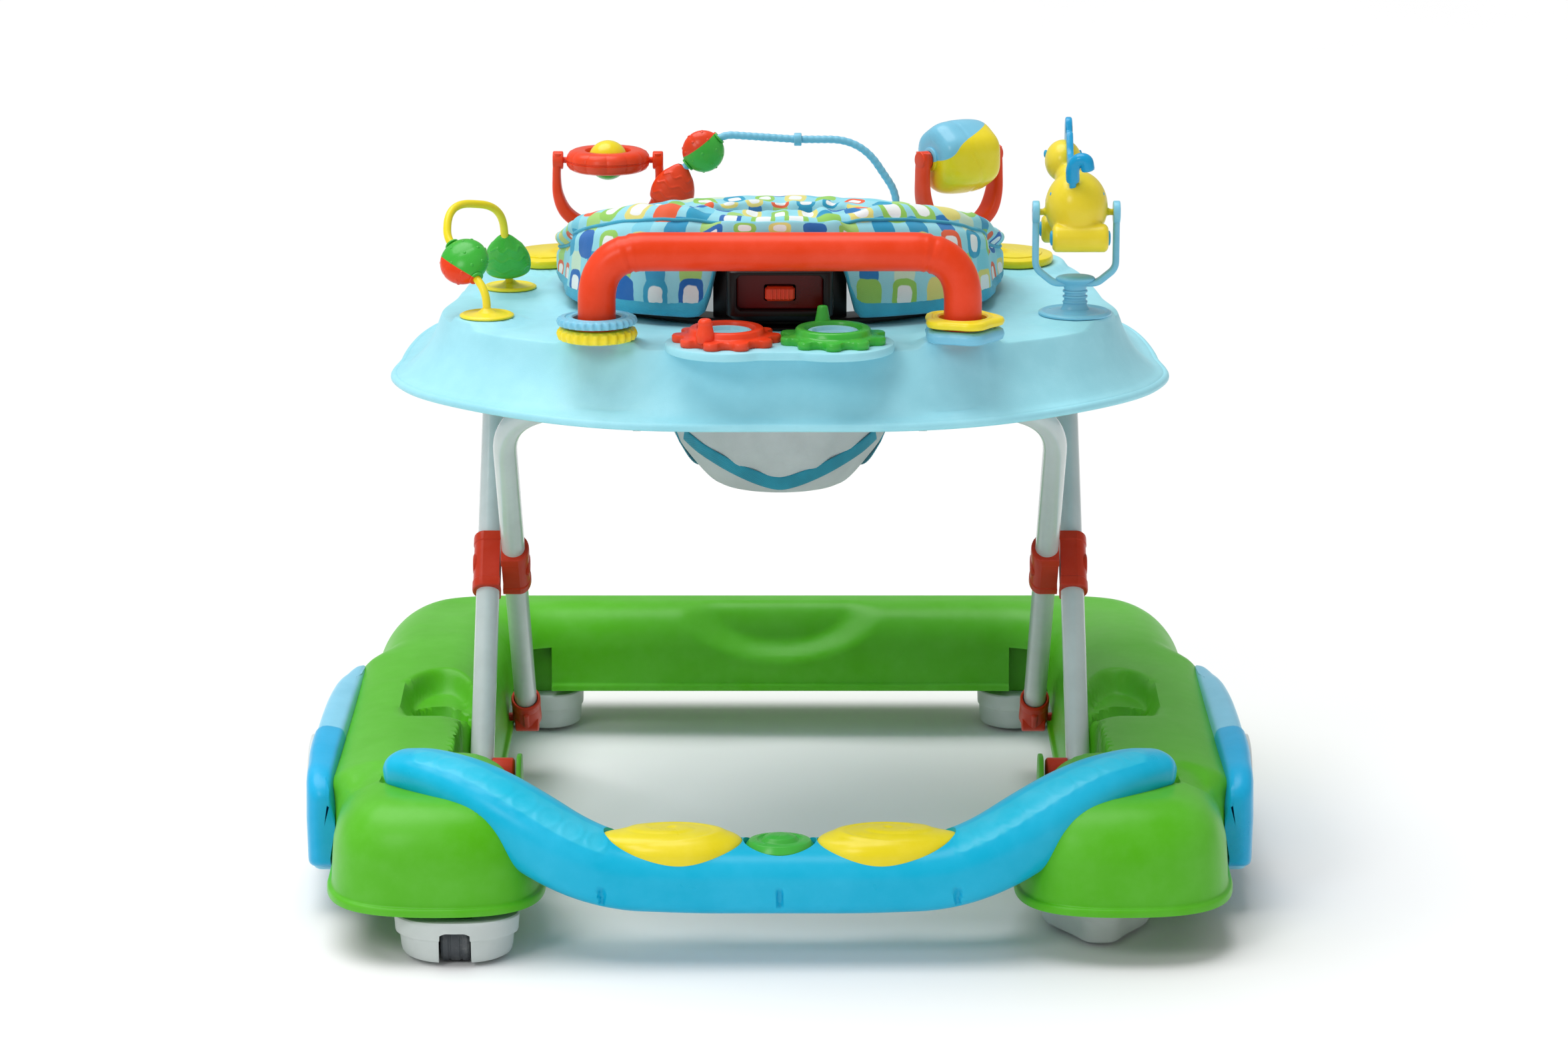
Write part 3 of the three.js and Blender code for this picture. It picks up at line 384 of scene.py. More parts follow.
def sweep(points, radius, sides=24, section=None, closed=False, up=(0, 0, 1), round_ends=0.0):
    """A section carried along a line. radius is one number or one for each point; round_ends closes the
    ends with a small rounding of that size."""
    points = np.asarray(points, float)
    section = oval(sides) if section is None else np.asarray(section, float)
    radius = np.broadcast_to(np.asarray(radius, float), (len(points),)).copy()
    if not closed:
        end = [points[0] - points[1], points[-1] - points[-2]]
        end = [e / np.linalg.norm(e) for e in end]
        e = round_ends
        if e:
            grow = [(0.0, 0.0), (0.3, 0.0), (0.8, 0.3), (1.0, 1.0)]
            first = [(points[0] + end[0] * e * (1 - q), radius[0] - e * (1 - p)) for p, q in grow]
            last = [(points[-1] + end[1] * e * (1 - q), radius[-1] - e * (1 - p)) for p, q in grow][::-1]
        else:
            first = [(points[0], radius[0])]
            last = [(points[-1], radius[-1])]
        first = [(first[0][0], 0.0), *first]
        last = [*last, (last[-1][0], 0.0)]
        points = np.vstack([[p for p, _ in first], points[1:-1], [p for p, _ in last]])
        radius = np.r_[[r for _, r in first], radius[1:-1], [r for _, r in last]]
        middle = resampled_frames(points, up)
    else:
        middle = frames(points, True, up)
    a, b = middle
    rows = points[:, None] + radius[:, None, None] * (
        a[:, None] * section[None, :, :1] + b[:, None] * section[None, :, 1:]
    )
    return skin(rows, close_rows=closed)


def resampled_frames(points, up):
    """Frames of a line that may repeat points at its ends."""
    p = np.asarray(points, float)
    step = np.r_[True, np.linalg.norm(np.diff(p, axis=0), axis=1) > 1e-6]
    a, b = frames(p[step], False, up)
    index = np.cumsum(step) - 1
    return a[index], b[index]


def lathe(profile, sides=48, scale=(1, 1, 1)):
    """Turned about +Z through [radius, height] points."""
    profile = np.asarray(profile, float)
    a = TAU * np.arange(sides) / sides
    ring = np.stack([np.cos(a), np.sin(a), np.zeros(sides)], 1)
    rows = profile[:, None, :1] * ring + profile[:, None, 1:] * np.array([0, 0, 1.0])
    return skin(rows * np.array(scale), close_columns=True)


def soft_lathe(profile, radius, sides=48, scale=(1, 1, 1), steps=3):
    """A lathe whose profile corners are rounded to a radius."""
    line = filleted([(r, 0, z) for r, z in profile], radius, steps)
    return lathe(line[:, [0, 2]], sides, scale)


def block(x, y, z, w, d, h, edge=1.5):
    """A rounded block round a centre."""
    plan = rounded_outline(w, d, min(edge * 1.6, w / 2.01, d / 2.01))
    levels = [(0, -h / 2, edge), (1, -h / 2, edge), (1, -h / 2 + edge, 0),
              (1, h / 2 - edge, 0), (1, h / 2, edge)]
    levels.append((0, h / 2, edge))
    rows = []
    for size, up, inset in levels:
        s = np.array([(w - 2 * inset) / w, (d - 2 * inset) / d]) * size
        rows.append(np.c_[plan * s, np.full(len(plan), up)])
    return moved(skin(rows), at(x, y, z))


def rounded_outline(w, d, r, steps=5):
    out = []
    for k, (sx, sy) in enumerate(((1, 1), (-1, 1), (-1, -1), (1, -1))):
        for i in range(steps + 1):
            a = math.pi / 2 * (k + i / steps)
            out.append((sx * (w / 2 - r) + r * math.cos(a), sy * (d / 2 - r) + r * math.sin(a)))
    return np.array(out)


def plate(outline, z0, z1, edge=1.2):
    """An upright-sided plate with rounded edges, from a smooth closed plan outline."""
    outline = np.asarray(outline, float)
    ahead, behind = np.roll(outline, -1, 0), np.roll(outline, 1, 0)
    t = ahead - behind
    t /= np.linalg.norm(t, axis=1)[:, None]
    area = np.sum(outline[:, 0] * ahead[:, 1] - outline[:, 1] * ahead[:, 0])
    inward = np.stack([-t[:, 1], t[:, 0]], 1) * (1 if area > 0 else -1)
    centre = outline.mean(0)
    middle = np.broadcast_to(centre, outline.shape)
    rows = [(middle, z0)]
    for inset, z in ((edge, z0), (edge * 0.3, z0 + edge * 0.3), (0, z0 + edge), (0, z1 - edge)):
        rows.append((outline + inward * inset, z))
    for inset, z in ((edge * 0.3, z1 - edge * 0.3), (edge, z1)):
        rows.append((outline + inward * inset, z))
    rows.append((middle, z1))
    return skin([np.c_[p, np.full(len(p), z)] for p, z in rows])


def egg(x, y, z, rx, ry, rz, sides=48, rows=28):
    v = np.linspace(0, math.pi, rows)
    profile = np.stack([np.sin(v), -np.cos(v)], 1)
    return moved(lathe(profile, sides), Matrix.Translation((x, y, z)) @ Matrix.Diagonal((rx, ry, rz, 1)))


def mesh_of(name, part, sharp=38):
    """A mesh from a part in millimetres, with coincident points merged and hard edges marked."""
    mesh = bpy.data.meshes.new(name)
    points, faces = part
    mesh.from_pydata((points * MM).tolist(), [], [tuple(int(i) for i in f) for f in faces])
    bm = bmesh.new()
    bm.from_mesh(mesh)
    bmesh.ops.remove_doubles(bm, verts=bm.verts, dist=2e-6)
    bmesh.ops.dissolve_degenerate(bm, edges=bm.edges, dist=1e-6)
    bmesh.ops.recalc_face_normals(bm, faces=bm.faces)
    mark_sharp(bm, sharp)
    bm.to_mesh(mesh)
    bm.free()
    return mesh


def mark_sharp(bm, degrees):
    limit = math.radians(degrees)
    for face in bm.faces:
        face.smooth = True
    for edge in bm.edges:
        edge.smooth = len(edge.link_faces) != 2 or edge.calc_face_angle(0) < limit


def linked(name, mesh):
    o = bpy.data.objects.new(name, mesh)
    bpy.context.scene.collection.objects.link(o)
    return o


def modified(o):
    """Leaves the object with the mesh its modifiers give."""
    bpy.context.view_layer.update()
    result = bpy.data.meshes.new_from_object(o.evaluated_get(bpy.context.evaluated_depsgraph_get()))
    o.modifiers.clear()
    o.data = result
    return o


def resharpen(o, degrees=38):
    bm = bmesh.new()
    bm.from_mesh(o.data)
    mark_sharp(bm, degrees)
    bm.to_mesh(o.data)
    bm.free()


def open_windows(mesh, boxes):
    """Cuts clean box-shaped openings, each (low corner, high corner) in millimetres, in an open surface."""
    bm = bmesh.new()
    bm.from_mesh(mesh)
    for low, high in boxes:
        low, high = Vector(low) * MM, Vector(high) * MM

        def within(face, slack):
            c = face.calc_center_median()
            return all(low[k] - slack < c[k] < high[k] + slack for k in range(3))

        for k in range(3):
            for value in (low[k], high[k]):
                faces = [f for f in bm.faces if within(f, 0.012)]
                edges = {e for f in faces for e in f.edges}
                verts = {v for f in faces for v in f.verts}
                place, along = Vector(), Vector()
                place[k], along[k] = value, 1
                bmesh.ops.bisect_plane(bm, geom=[*faces, *edges, *verts], plane_co=place,
                                       plane_no=along, dist=1e-6)
        bmesh.ops.delete(bm, geom=[f for f in bm.faces if within(f, 0)], context="FACES")
    bm.to_mesh(mesh)
    bm.free()


def piece(name, parts, material, body, stands_for=(), sharp=38, wall=None,
          windows=(), cuts=(), fuse=None,
          bevel=None):
    """A visible piece. wall gives an open surface a thickness; windows are openings in that surface; cuts are
    parts taken away; fuse melts overlapping parts into one skin of that fineness; bevel rounds hard edges."""
    parts = parts if isinstance(parts, list) else [parts]
    o = linked(name, mesh_of(name, joined(parts), sharp))
    if windows:
        open_windows(o.data, windows)
    if wall:
        m = o.modifiers.new("wall", "SOLIDIFY")
        m.thickness, m.offset = wall * MM, -1
        modified(o)
    for i, part in enumerate(cuts):
        tool = linked(f"cut_{i}", mesh_of("cut", part))
        m = o.modifiers.new("cut", "BOOLEAN")
        m.object, m.operation, m.solver, m.use_self = tool, "DIFFERENCE", "EXACT", bool(fuse)
        modified(o)
        bpy.data.objects.remove(tool)
    if fuse:
        m = o.modifiers.new("fuse", "REMESH")
        m.mode, m.voxel_size = "VOXEL", fuse * MM
        m = o.modifiers.new("soften", "SMOOTH")
        m.factor, m.iterations = 0.5, 5
        modified(o)
    if bevel:
        m = o.modifiers.new("bevel", "BEVEL")
        m.width, m.segments, m.limit_method, m.angle_limit = bevel * MM, 2, "ANGLE", math.radians(35)
        modified(o)
    if wall or cuts or fuse or bevel:
        resharpen(o, sharp)
    o.data.materials.clear()
    o.data.materials.append(material)
    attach(o, body)
    if stands_for:
        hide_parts(*([stands_for] if isinstance(stands_for, str) else stands_for))
    return o


def with_attribute(o, name, values):
    a = o.data.attributes.new(name, "FLOAT", "POINT")
    a.data.foreach_set("value", np.asarray(values, np.float32).ravel())


def mirrored(part):
    return part[0] * np.array([-1, 1, 1]), part[1][:, ::-1]


SIDES = (("left", -1), ("right", 1))


def sided(part, sign):
    return part if sign > 0 else mirrored(part)


def give(node, material):
    """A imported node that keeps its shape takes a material."""
    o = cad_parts[node]
    o.data.materials.clear()
    o.data.materials.append(material)


floor = linked("floor",
               mesh_of("floor", skin([[(x, y, 0) for x in (-9000, 9000)] for y in (-7000, 12000)], False,
                                     False)))
floor.data.materials.append(floor_material())
floor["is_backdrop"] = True

# ---------------------------------------------------------------- base
TAN_FOLDED = math.tan(math.radians(47.16 - 24))
FOOT_Y, FOOT_Z = 161.0, 46.0
CROSS_Y, CROSS_Z = -8.0, 211.0
BAR = [
    (0, -326, 61, 28, 25),
    (60, -326, 61, 28, 25),
    (115, -325, 63, 28.5, 25),
    (150, -321, 74, 29.5, 26),
    (185, -309, 93, 31, 26),
    (215, -293, 109, 29, 23),
    (245, -274, 118, 26, 19),
    (272, -257, 120, 22, 16),
    (286, -249, 118, 16, 12),
]


def bezier(a, b, c, d, n):
    t = np.linspace(0, 1, n, endpoint=False)[:, None]
    a, b, c, d = (np.array(p, float) for p in (a, b, c, d))
    return a * (1 - t) ** 3 + 3 * b * t * (1 - t) ** 2 + 3 * c * t * t * (1 - t) + d * t**3


def straight(a, b, n):
    t = np.linspace(0, 1, n, endpoint=False)[:, None]
    return np.array(a, float) * (1 - t) + np.array(b, float) * t


def base_edges():
    """The right half's outer and inner plan edges, both from the near tip round to the far middle."""
    n = (30, 76, 92, 48, 56)
    outer = np.vstack([
        bezier((245, -354), (300, -354), (326, -335), (329, -280), n[0]),
        straight((329, -280), (331.5, -60), n[1]),
        straight((331.5, -60), (334, 200), n[2]),
        bezier((334, 200), (335, 322), (312, 354), (215, 354), n[3]),
        straight((215, 354), (0, 354), n[4]),
        [(0, 354)],
    ])
    inner = np.vstack([
        bezier((245, -354), (205, -354), (172, -345), (170, -290), n[0]),
        bezier((170, -290), (168, -200), (216, -150), (216, -60), n[1]),
        straight((216, -60), (216, 215), n[2]),
        bezier((216, 215), (216, 238), (205, 252), (178, 252), n[3]),
        straight((178, 252), (0, 252), n[4]),
        [(0, 252)],
    ])
    return outer, inner


def inward(edge, sign):
    t = np.gradient(edge, axis=0)
    t[0], t[-1] = (sign, 0), (-1, 0)
    t /= np.linalg.norm(t, axis=1)[:, None]
    return np.stack([-t[:, 1], t[:, 0]], 1) * sign


# Across the rail: distance in from the edge, then height, from the rolled lip up to the flat top.
BASE_EDGE = [
    (0, 38), (0, 40.5), (0.4, 42.6), (1.4, 43.6), (3, 44.2), (3.5, 46), (3.8, 52), (4.2, 60), (4.8, 69),
    (5.6, 77), (7.4, 84), (9.6, 89.6), (12.4, 94.6), (16, 99.4), (20.5, 104), (26, 107.8), (32, 110.6),
    (38, 112.2), (44, 113),
]


def bar_at(x):
    """The footrest bar's centre (y, z) and half sizes at a distance from the middle."""
    table = np.array(BAR, float)
    return [np.interp(np.abs(x), table[:, 0], table[:, k]) for k in (1, 2, 3, 4)]


def base_features(p):
    """Presses the wells, hand-holds and grooves into the shell's points."""
    x, y, z = p[:, 0], p[:, 1], p[:, 2]
    z = np.where(z > 40, 40 + (z - 40) * (1 - 0.12 * smooth(120, 320, y)), z)
    # The outer leg folds down into a well on the rail's inside.
    floor_z = FOOT_Z + (y + FOOT_Y) * TAN_FOLDED - 13.8
    floor_z = np.where(y < -FOOT_Y + 26, mix(20, floor_z, smooth(-140, -132, y)), floor_z)
    inside = smooth(243, 238.5, x) * smooth(-189, -185, y) * smooth(12, 7, y)
    z = np.where(z > floor_z, mix(z, floor_z + 0.02 * (z - 38), inside), z)
    # The shoulder stands out as far as the side panels.
    beside = smooth(-240, -205, y) * smooth(150, 100, y) * smooth(58, 70, z)
    x = mix(x, np.where(x > 286, np.minimum(x + 15 * smooth(286, 314, x), 332.5), x), beside)
    # Hand-hold: a long scoop with an arched far wall, and a half-moon slot across its floor.
    q = np.hypot((x - 264) / 29, np.maximum(y + 12, 0) / 62)
    z = z - 17 * smooth(1.0, 0.68, q) * smooth(-96, -34, y)
    q = np.hypot((x - 262) / 23, (y + 24) / np.where(y > -24, 20, 9))
    moon = np.hypot((x - 264) / 17, (y + 26) / np.where(y > -26, 12, 6))
    z = z - 11 * smooth(1.0, 0.82, q) + 6 * smooth(1.0, 0.8, moon)
    # Bed of the footrest bar.
    by, bz, bd, bh = bar_at(x)
    q = (y - by) / (bd + 1.6)
    bed = bz - (bh + 1.6) * np.clip(1 - q * q, 0, 1) ** 0.4
    z = np.where((abs(q) < 1) & (x < 289), np.minimum(z, bed), z)
    # Lens-shaped recess in the far rail's inner wall, straight along the crest.
    q = np.hypot(x / 82, (106 - z) / 44)
    y = y + (300 - y) * 0.42 * smooth(1.06, 0.66, q) * smooth(301, 292, y) * smooth(240, 250, y)
    # Shallow coves at the near domes, just outside the bar's ends.
    q = ((x - 300) / 16) ** 2 + ((y + 236) / 30) ** 2
    z = z - 3.0 * smooth(1.0, 0.2, q)
    return np.stack([x, y, z], 1)


def base_half():
    outer, inner = base_edges()
    profile = catmull(BASE_EDGE, 2)
    profile = profile[np.r_[True, np.linalg.norm(np.diff(profile, axis=0), axis=1) > 0.3]]
    n_out, n_in = inward(outer, 1), inward(inner, -1)
    columns = [np.c_[outer + n_out * d, np.full(len(outer), z)] for d, z in profile]
    back = [np.c_[inner + n_in * d, np.full(len(inner), z)] for d, z in profile][::-1]
    across = [mix(columns[-1], back[0], t) for t in np.linspace(0, 1, 14)[1:-1]]
    rows = np.stack(columns + across + back, 1)
    shape = rows.shape
    rows = base_features(rows.reshape(-1, 3)).reshape(shape)
    return skin(rows, close_columns=False)


green = moulded("green_plastic", GREEN, rough=0.36, grain=0.3)
half = base_half()
# On each side, the track for the far foot's pin and the notch its sleeve slides back into.
windows = [
    box
    for s in (-1, 1)
    for box in (
        ((min(s * 204, s * 229), 140, 41.8), (max(s * 204, s * 229), 258, 50.2)),
        ((min(s * 190, s * 218), 196, 30), (max(s * 190, s * 218), 266, 74)),
    )
]
piece("base_cover", [half, mirrored(half)], green, "base", "base_shell", sharp=50,
      wall=3.0, windows=windows)

# Brackets for the near feet's pins, and sockets for the caster stems.
brackets = []
for s in (-1, 1):
    ear = plate([(y, z) for y, z in resampled(filleted(
        [(-186, 34, 0), (-186, 60, 0), (-176, 69, 0), (-158, 69, 0), (-148, 58, 0),
         (-148, 34, 0), (-186, 34, 0)], 6, 5
    ), 2.0)[:-1, :2]], -3, 3, 1)
    upright = Matrix(((0, 0, 1, 0), (1, 0, 0, 0), (0, 1, 0, 0), (0, 0, 0, 1)))
    brackets.append(moved(moved(ear, upright), at(s * 209, 0, 0)))
    brackets.append(block(s * 224, -183, 54, 34, 6, 29, 1.2))
    brackets.append(moved(soft_lathe([(0, -19), (4, -19), (4, 19), (0, 19)], 1, 20),
                          at(s * LEG_OUTER_X, -161, 46) @ turn(90, "Y")))
    head = soft_lathe([(0, 0), (6.5, 0), (6.5, 2.4), (3.4, 3.6), (0, 3.6)], 0.8, 24)
    brackets.append(moved(head, at(s * 206.2, -161, 46) @ turn(-90 * s, "Y")))
    guard = filleted([(-166, 38, 0), (-160, 70, 0), (-141, 96, 0), (-117, 92, 0), (-108, 66, 0),
                      (-112, 38, 0), (-166, 38, 0)], 14, 6)
    guard = plate(resampled(guard, 2.0)[:-1, :2], -1.8, 1.8, 0.9)
    brackets.append(moved(moved(guard, upright), at(s * 196.4, 0, 0)))
    brackets.append(block(s * 206, -138, 41, 20, 46, 4, 1))
# The closed back of each notch in the far corner, and the side wall behind the notch and its track.
for s in (-1, 1):
    brackets.append(block(s * 201, 270, 56, 64, 3, 46, 1))
    brackets.append(block(s * 231.5, 203, 56, 3, 134, 44, 1))
piece("foot_brackets", brackets, moulded("green_bracket", shade(GREEN, 0.86), 0.4), "base")
sockets = [
    moved(soft_lathe([(8.6, 36), (14, 36), (14, 100), (8.6, 100), (8.6, 36)], 0.8, 32),
          at(sx * CASTER_X, sy * CASTER_Y, 0))
    for sx in (-1, 1) for sy in (-1, 1)
]
piece("caster_sockets", sockets, green, "base")

# Side panels: a pale arched shell with a stronger blue rounded block on its near half.
PANEL = [
    (-222, 341, 34, 92), (-217, 344.5, 31, 101), (-205, 347, 29.5, 107), (-180, 349.4, 29, 109.5),
    (-150, 351, 29, 111), (-105, 351.6, 29, 112.4), (-60, 351.8, 29, 113), (-15, 351.4, 29.3, 112.4),
    (30, 349.6, 30, 111), (55, 347, 31.6, 109.6), (76, 343, 33, 108),
         (92, 338.6, 35.5, 106), (104, 334, 39, 103),
]
PANEL_BACK = 331.0


def panel(stations):
    """A side panel, from its [y, outer face, lower edge, upper edge] at stations along the base."""
    rows = []
    for y, x, z0, z1 in catmull(stations, 4):
        depth = x - PANEL_BACK
        line = filleted([(PANEL_BACK, 0, z0), (x, 0, z0), (x + 0.8, 0, (z0 + z1) / 2),
                         (x, 0, z1), (PANEL_BACK, 0, z1 - 5),
                         (PANEL_BACK - 4, 0, z1 - 20)], [0, min(6, depth), 60, min(11, depth), 6, 0], 6)
        rows.append(np.c_[line[:, 0], np.full(len(line), y), line[:, 2]])
    first, last = rows[0], rows[-1]
    closed = [np.broadcast_to(first.mean(0), first.shape), *rows, np.broadcast_to(last.mean(0), last.shape)]
    return skin(closed)


panel_blue = moulded("panel_blue", srgb(6, 176, 228), 0.3)
panel_pale = moulded("panel_pale", srgb(136, 208, 236), 0.3)
for side, s in SIDES:
    shell = panel(PANEL)
    piece(f"side_cover_{side}", sided(shell, s), panel_pale, "base",
          f"side_panel_{side}", sharp=45)
    block_stations = [(-231, 338, 44, 88), (-229, 342, 39, 96),
                      (-222, 347, 35, 103), (-205, 349.6, 31, 109)]
    block_stations += [(y, x + 1.2, z0 + 1, z1 + 1.6) for y, x, z0, z1 in PANEL if -205 < y <= -125]
    block_stations += [(-112, 352.8, 31, 113), (-106, 351.4, 33, 112), (-104, 348, 36, 109)]
    raised = panel(block_stations)
    rim = soft_lathe([(0, -3), (38, -3), (37.2, 1.5), (34, 2.4), (30, 2.0), (27, 2.6), (15, 2.9),
                      (13, 2.2), (0, 2.4)], 0.7, 72)
    ribs = [
        moved(block(20, 0, 2.5, 12, 2.4, 1.6, 0.6), turn(a, "Z")) for a in range(0, 360, 30)
    ]
    hub = moved(joined([rim, *ribs]), at(352.6, -118, 68) @ turn(90, "Y"))
    piece(f"side_block_{side}", sided(raised, s), panel_blue, "base", sharp=45)
    piece(f"side_disc_{side}", sided(hub, s), moulded(f"hub_{side}", WHITE, 0.3), "base",
          f"side_hub_{side}")

# ---------------------------------------------------------------- footrest bar and its press pads
PAD_X, PAD_Y = 78, -322


def pad_outline(q, grow=0.0):
    """The plan of a press pad: an oval drawn out to a soft point at its outer end."""
    a = TAU * np.arange(144) / 144
    reach = 1 - 0.05 * (1 + np.cos(2 * a)) * (np.cos(a) > 0)
    x = PAD_X + 1 + (52.5 * q + grow) * np.cos(a) * reach
    return np.c_[x, PAD_Y + (28.6 * q + grow) * np.sin(a) * (1 - 0.12 * np.cos(a))]


def bar_line():
    x = np.r_[-287.6, np.arange(-287, 287.1, 1.4), 287.6]
    y, z, d, h = bar_at(x)
    y, z, d, h = (np.convolve(np.pad(v, 12, mode="edge"), np.ones(25) / 25, "valid") for v in (y, z, d, h))
    end = np.sqrt(np.clip(1 - ((abs(x) - 274) / 13.6).clip(0, 1) ** 2, 0, 1))
    return np.stack([x, y, z], 1), d * end, h * end


# The paler band along the top of each sloped end: the section's angles it covers.
BAND_MIDDLE, BAND_HALF = math.radians(112), math.radians(27)


def footrest():
    line, d, h = bar_line()
    a, b = frames(line, up=(0, 0, 1))
    section = oval(96, 0.8)
    angle = np.arctan2(section[:, 1], section[:, 0] * (1 if b[0, 2] > 0 else -1))
    s = np.r_[0, np.cumsum(np.linalg.norm(np.diff(line, axis=0), axis=1))]
    from_end = np.minimum(s, s[-1] - s)
    # Embossed rings in a chain along the band.
    width = (angle - BAND_MIDDLE) / BAND_HALF * 10
    emboss = np.zeros((len(line), 96))
    for k in range(8):
        q = np.hypot(from_end[:, None] - (40 + 20 * k), width[None, :])
        emboss += 0.45 * np.exp(-(((q - 7.6) / 1.5) ** 2)) * (np.abs(width) < 10)[None, :]
    grow = 1 + emboss[..., None] / 26
    rows = line[:, None] + grow * (a[:, None] * (section[None, :, :1] * d[:, None, None]) + b[:, None] * (
        section[None, :, 1:] * h[:, None, None]
    ))
    px, py, pz = rows.reshape(-1, 3).T
    # Three upright notches along the front.
    for cx in (-127, 0, 127):
        q = abs(px - cx) / mix(1.7, 2.6, smooth(44, 58, pz))
        py = py + 4.0 * smooth(1.25, 0.6, q) * smooth(-338, -346,
                                                      py) * smooth(60, 57, pz) * smooth(42, 46, pz)
    return skin(np.stack([px, py, pz], 1).reshape(rows.shape))


def band_share(p):
    """1 on the pale band, 0 elsewhere, for points on the bar in millimetres."""
    line, d, h = bar_line()
    y, z, deep, high = (np.interp(p[:, 0], line[:, 0], v) for v in (line[:, 1], line[:, 2], d, h))
    angle = np.arctan2((p[:, 2] - z) / np.maximum(high, 1), -(p[:, 1] - y) / np.maximum(deep, 1))
    off = abs(angle - (math.pi - BAND_MIDDLE)) / BAND_HALF
    return smooth(1.06, 0.98, off) * smooth(268, 262, abs(p[:, 0])) * smooth(118, 132, abs(p[:, 0]))


bar_blue = moulded("bar_blue", srgb(0, 186, 226), 0.3, second=srgb(60, 198, 230),
                   split=lambda t: t.attribute("band"))
hole = plate(resampled(pad_outline(1.0, -0.1), 2.0, closed=True), 66, 130, 0.6)
button_hole = moved(soft_lathe([(0, 60), (26.3, 60), (26.3, 130), (0, 130)], 0.5, 72, (1, 0.84, 1)),
                    at(0, PAD_Y, 0))
bar = piece("footrest", footrest(), bar_blue, "base", "footrest_bar", sharp=50,
            cuts=[hole, mirrored(hole), button_hole])
with_attribute(bar, "band", band_share(np.array([v.co[:] for v in bar.data.vertices]) / MM))

yellow = moulded("yellow_plastic", YELLOW, 0.3, coat=0.15, glow=0.06)
leaf = moulded("leaf_plastic", LEAF, 0.28, coat=0.25)
red = moulded("red_plastic", RED, 0.33, coat=0.05)


def press_pad(sign):
    """A puffed teardrop pad whose top carries a spiral relief; its point is at the outer end."""
    rows = []
    for q in np.r_[0, np.linspace(0.03, 0.97, 52), 0.985, 0.996]:
        plan = pad_outline(q)
        # The rim keeps just under the bar's surface.
        by, bz, bd, bh = bar_at(plan[:, 0])
        rim = np.maximum(79.9, bz - 1 + bh * np.clip(1 - ((plan[:, 1] - by) / bd) ** 2, 0, 1) ** 0.5)
        z = mix(rim, 95.4, (1 - q**3.0) ** 0.5)
        u, v = (plan[:, 0] - PAD_X) / 42, (plan[:, 1] - PAD_Y) / 23
        rho, phi = np.hypot(u, v), np.arctan2(v, u)
        relief = 1.0 * smooth(-0.5, 0.7,
                              np.sin(phi - 8.5 * rho)) * smooth(1.0, 0.86, rho) * smooth(0.02, 0.12, rho)
        rows.append(np.c_[plan, z + relief * (q < 0.9)])
    rows += [np.c_[pad_outline(1.0), np.full(len(plan), z)] for z in (76.0, 70.0)]
    rows.append(np.broadcast_to(np.array([PAD_X, PAD_Y, 70.0]), rows[-1].shape))
    return sided(skin(rows), sign)


for side, s in SIDES:
    body = f"music_pad_{side}"
    piece(f"press_pad_{side}", press_pad(s), yellow, body, body, sharp=60)
button = moved(soft_lathe(
    [(0, -7), (25.4, -7), (25.6, 7), (22.0, 12.0), (16.5, 13.0), (15.4, 11.6), (13.6, 11.8),
     (11, 14.6), (6, 16.2), (0, 16.5)],
    1.6, 72, (1, 0.84, 1)), at(0, PAD_Y, 74.5))
piece("press_button", button, leaf, "music_button", "music_button", sharp=50)

# ---------------------------------------------------------------- casters
# Each caster: its name, its place and the way its pod points.
CASTERS = (
    ("near_left", -CASTER_X, -CASTER_Y, 0),
    ("near_right", CASTER_X, -CASTER_Y, 180),
    ("far_left", -CASTER_X, CASTER_Y, 104),
    ("far_right", CASTER_X, CASTER_Y, -102),
)
TRAIL = 44
WHEEL_Z = 17 * math.cos(math.pi / 18)


def pod_plan(size, z, grow=0.0):
    a = TAU * np.arange(96) / 96
    front = (1 - np.cos(a)) / 2
    half_width = mix(24 * size, 48 * size, smooth(0.1, 0.75, front)) + grow
    x = half_width * np.sign(np.sin(a)) * abs(np.sin(a)) ** 0.7
    y = mix(22 * size + grow, -66 + 18 * (1 - size) - grow, front)
    return np.stack([x, y, np.full(96, float(z))], 1)


pod_levels = [(0.0, 3.2), (0.80, 3.2), (0.84, 4.0), (0.875, 6.4), (0.895, 10), (0.905, 15),
              (0.915, 18.6), (0.925, 19.6),
              (0.975, 20.2), (0.985, 21.4), (0.992, 27), (1.0, 30.6), (0.995, 32.4),
              (0.97, 33.4), (0.0, 33.4)]
pod_skin = skin([pod_plan(s, z) for s, z in pod_levels])
pod_cuts = [
    block(0, -46, 1.0, 23.4, 43, 52, 3),
    moved(soft_lathe([(0, -11.8), (18.9, -11.8), (18.9, 11.8), (0, 11.8)], 0.6, 40),
          at(0, -TRAIL, WHEEL_Z) @ turn(90, "Y")),
]
stem = moved(soft_lathe([(0, 30), (7.6, 30), (7.6, 69), (6, 70), (0, 70)], 0.8, 28), at(0, 0, 0))
caps = [
    moved(soft_lathe([(0, -1), (6.4, -1), (6.4, 1.6), (3.4, 2.2), (3.0, 1.2), (0, 1.2)], 0.5, 28),
          at(sx * 33.4, -TRAIL, WHEEL_Z) @ turn(90 * sx, "Y"))
    for sx in (-1, 1)
]
tread = soft_lathe(
    [(0, -10.5), (5.5, -10.5), (6.2, -9.2), (12.2, -9.2), (13.2, -10.5), (15.4, -10.5), (17, -8.6),
     (17, -5.2), (16.3, -4.6),
     (16.3, -3.6), (17, -3), (17, 3), (16.3, 3.6), (16.3, 4.6), (17, 5.2), (17, 8.6),
     (15.4, 10.5), (13.2, 10.5),
     (12.2, 9.2), (6.2, 9.2), (5.5, 10.5), (0, 10.5)], 0.5, 72)
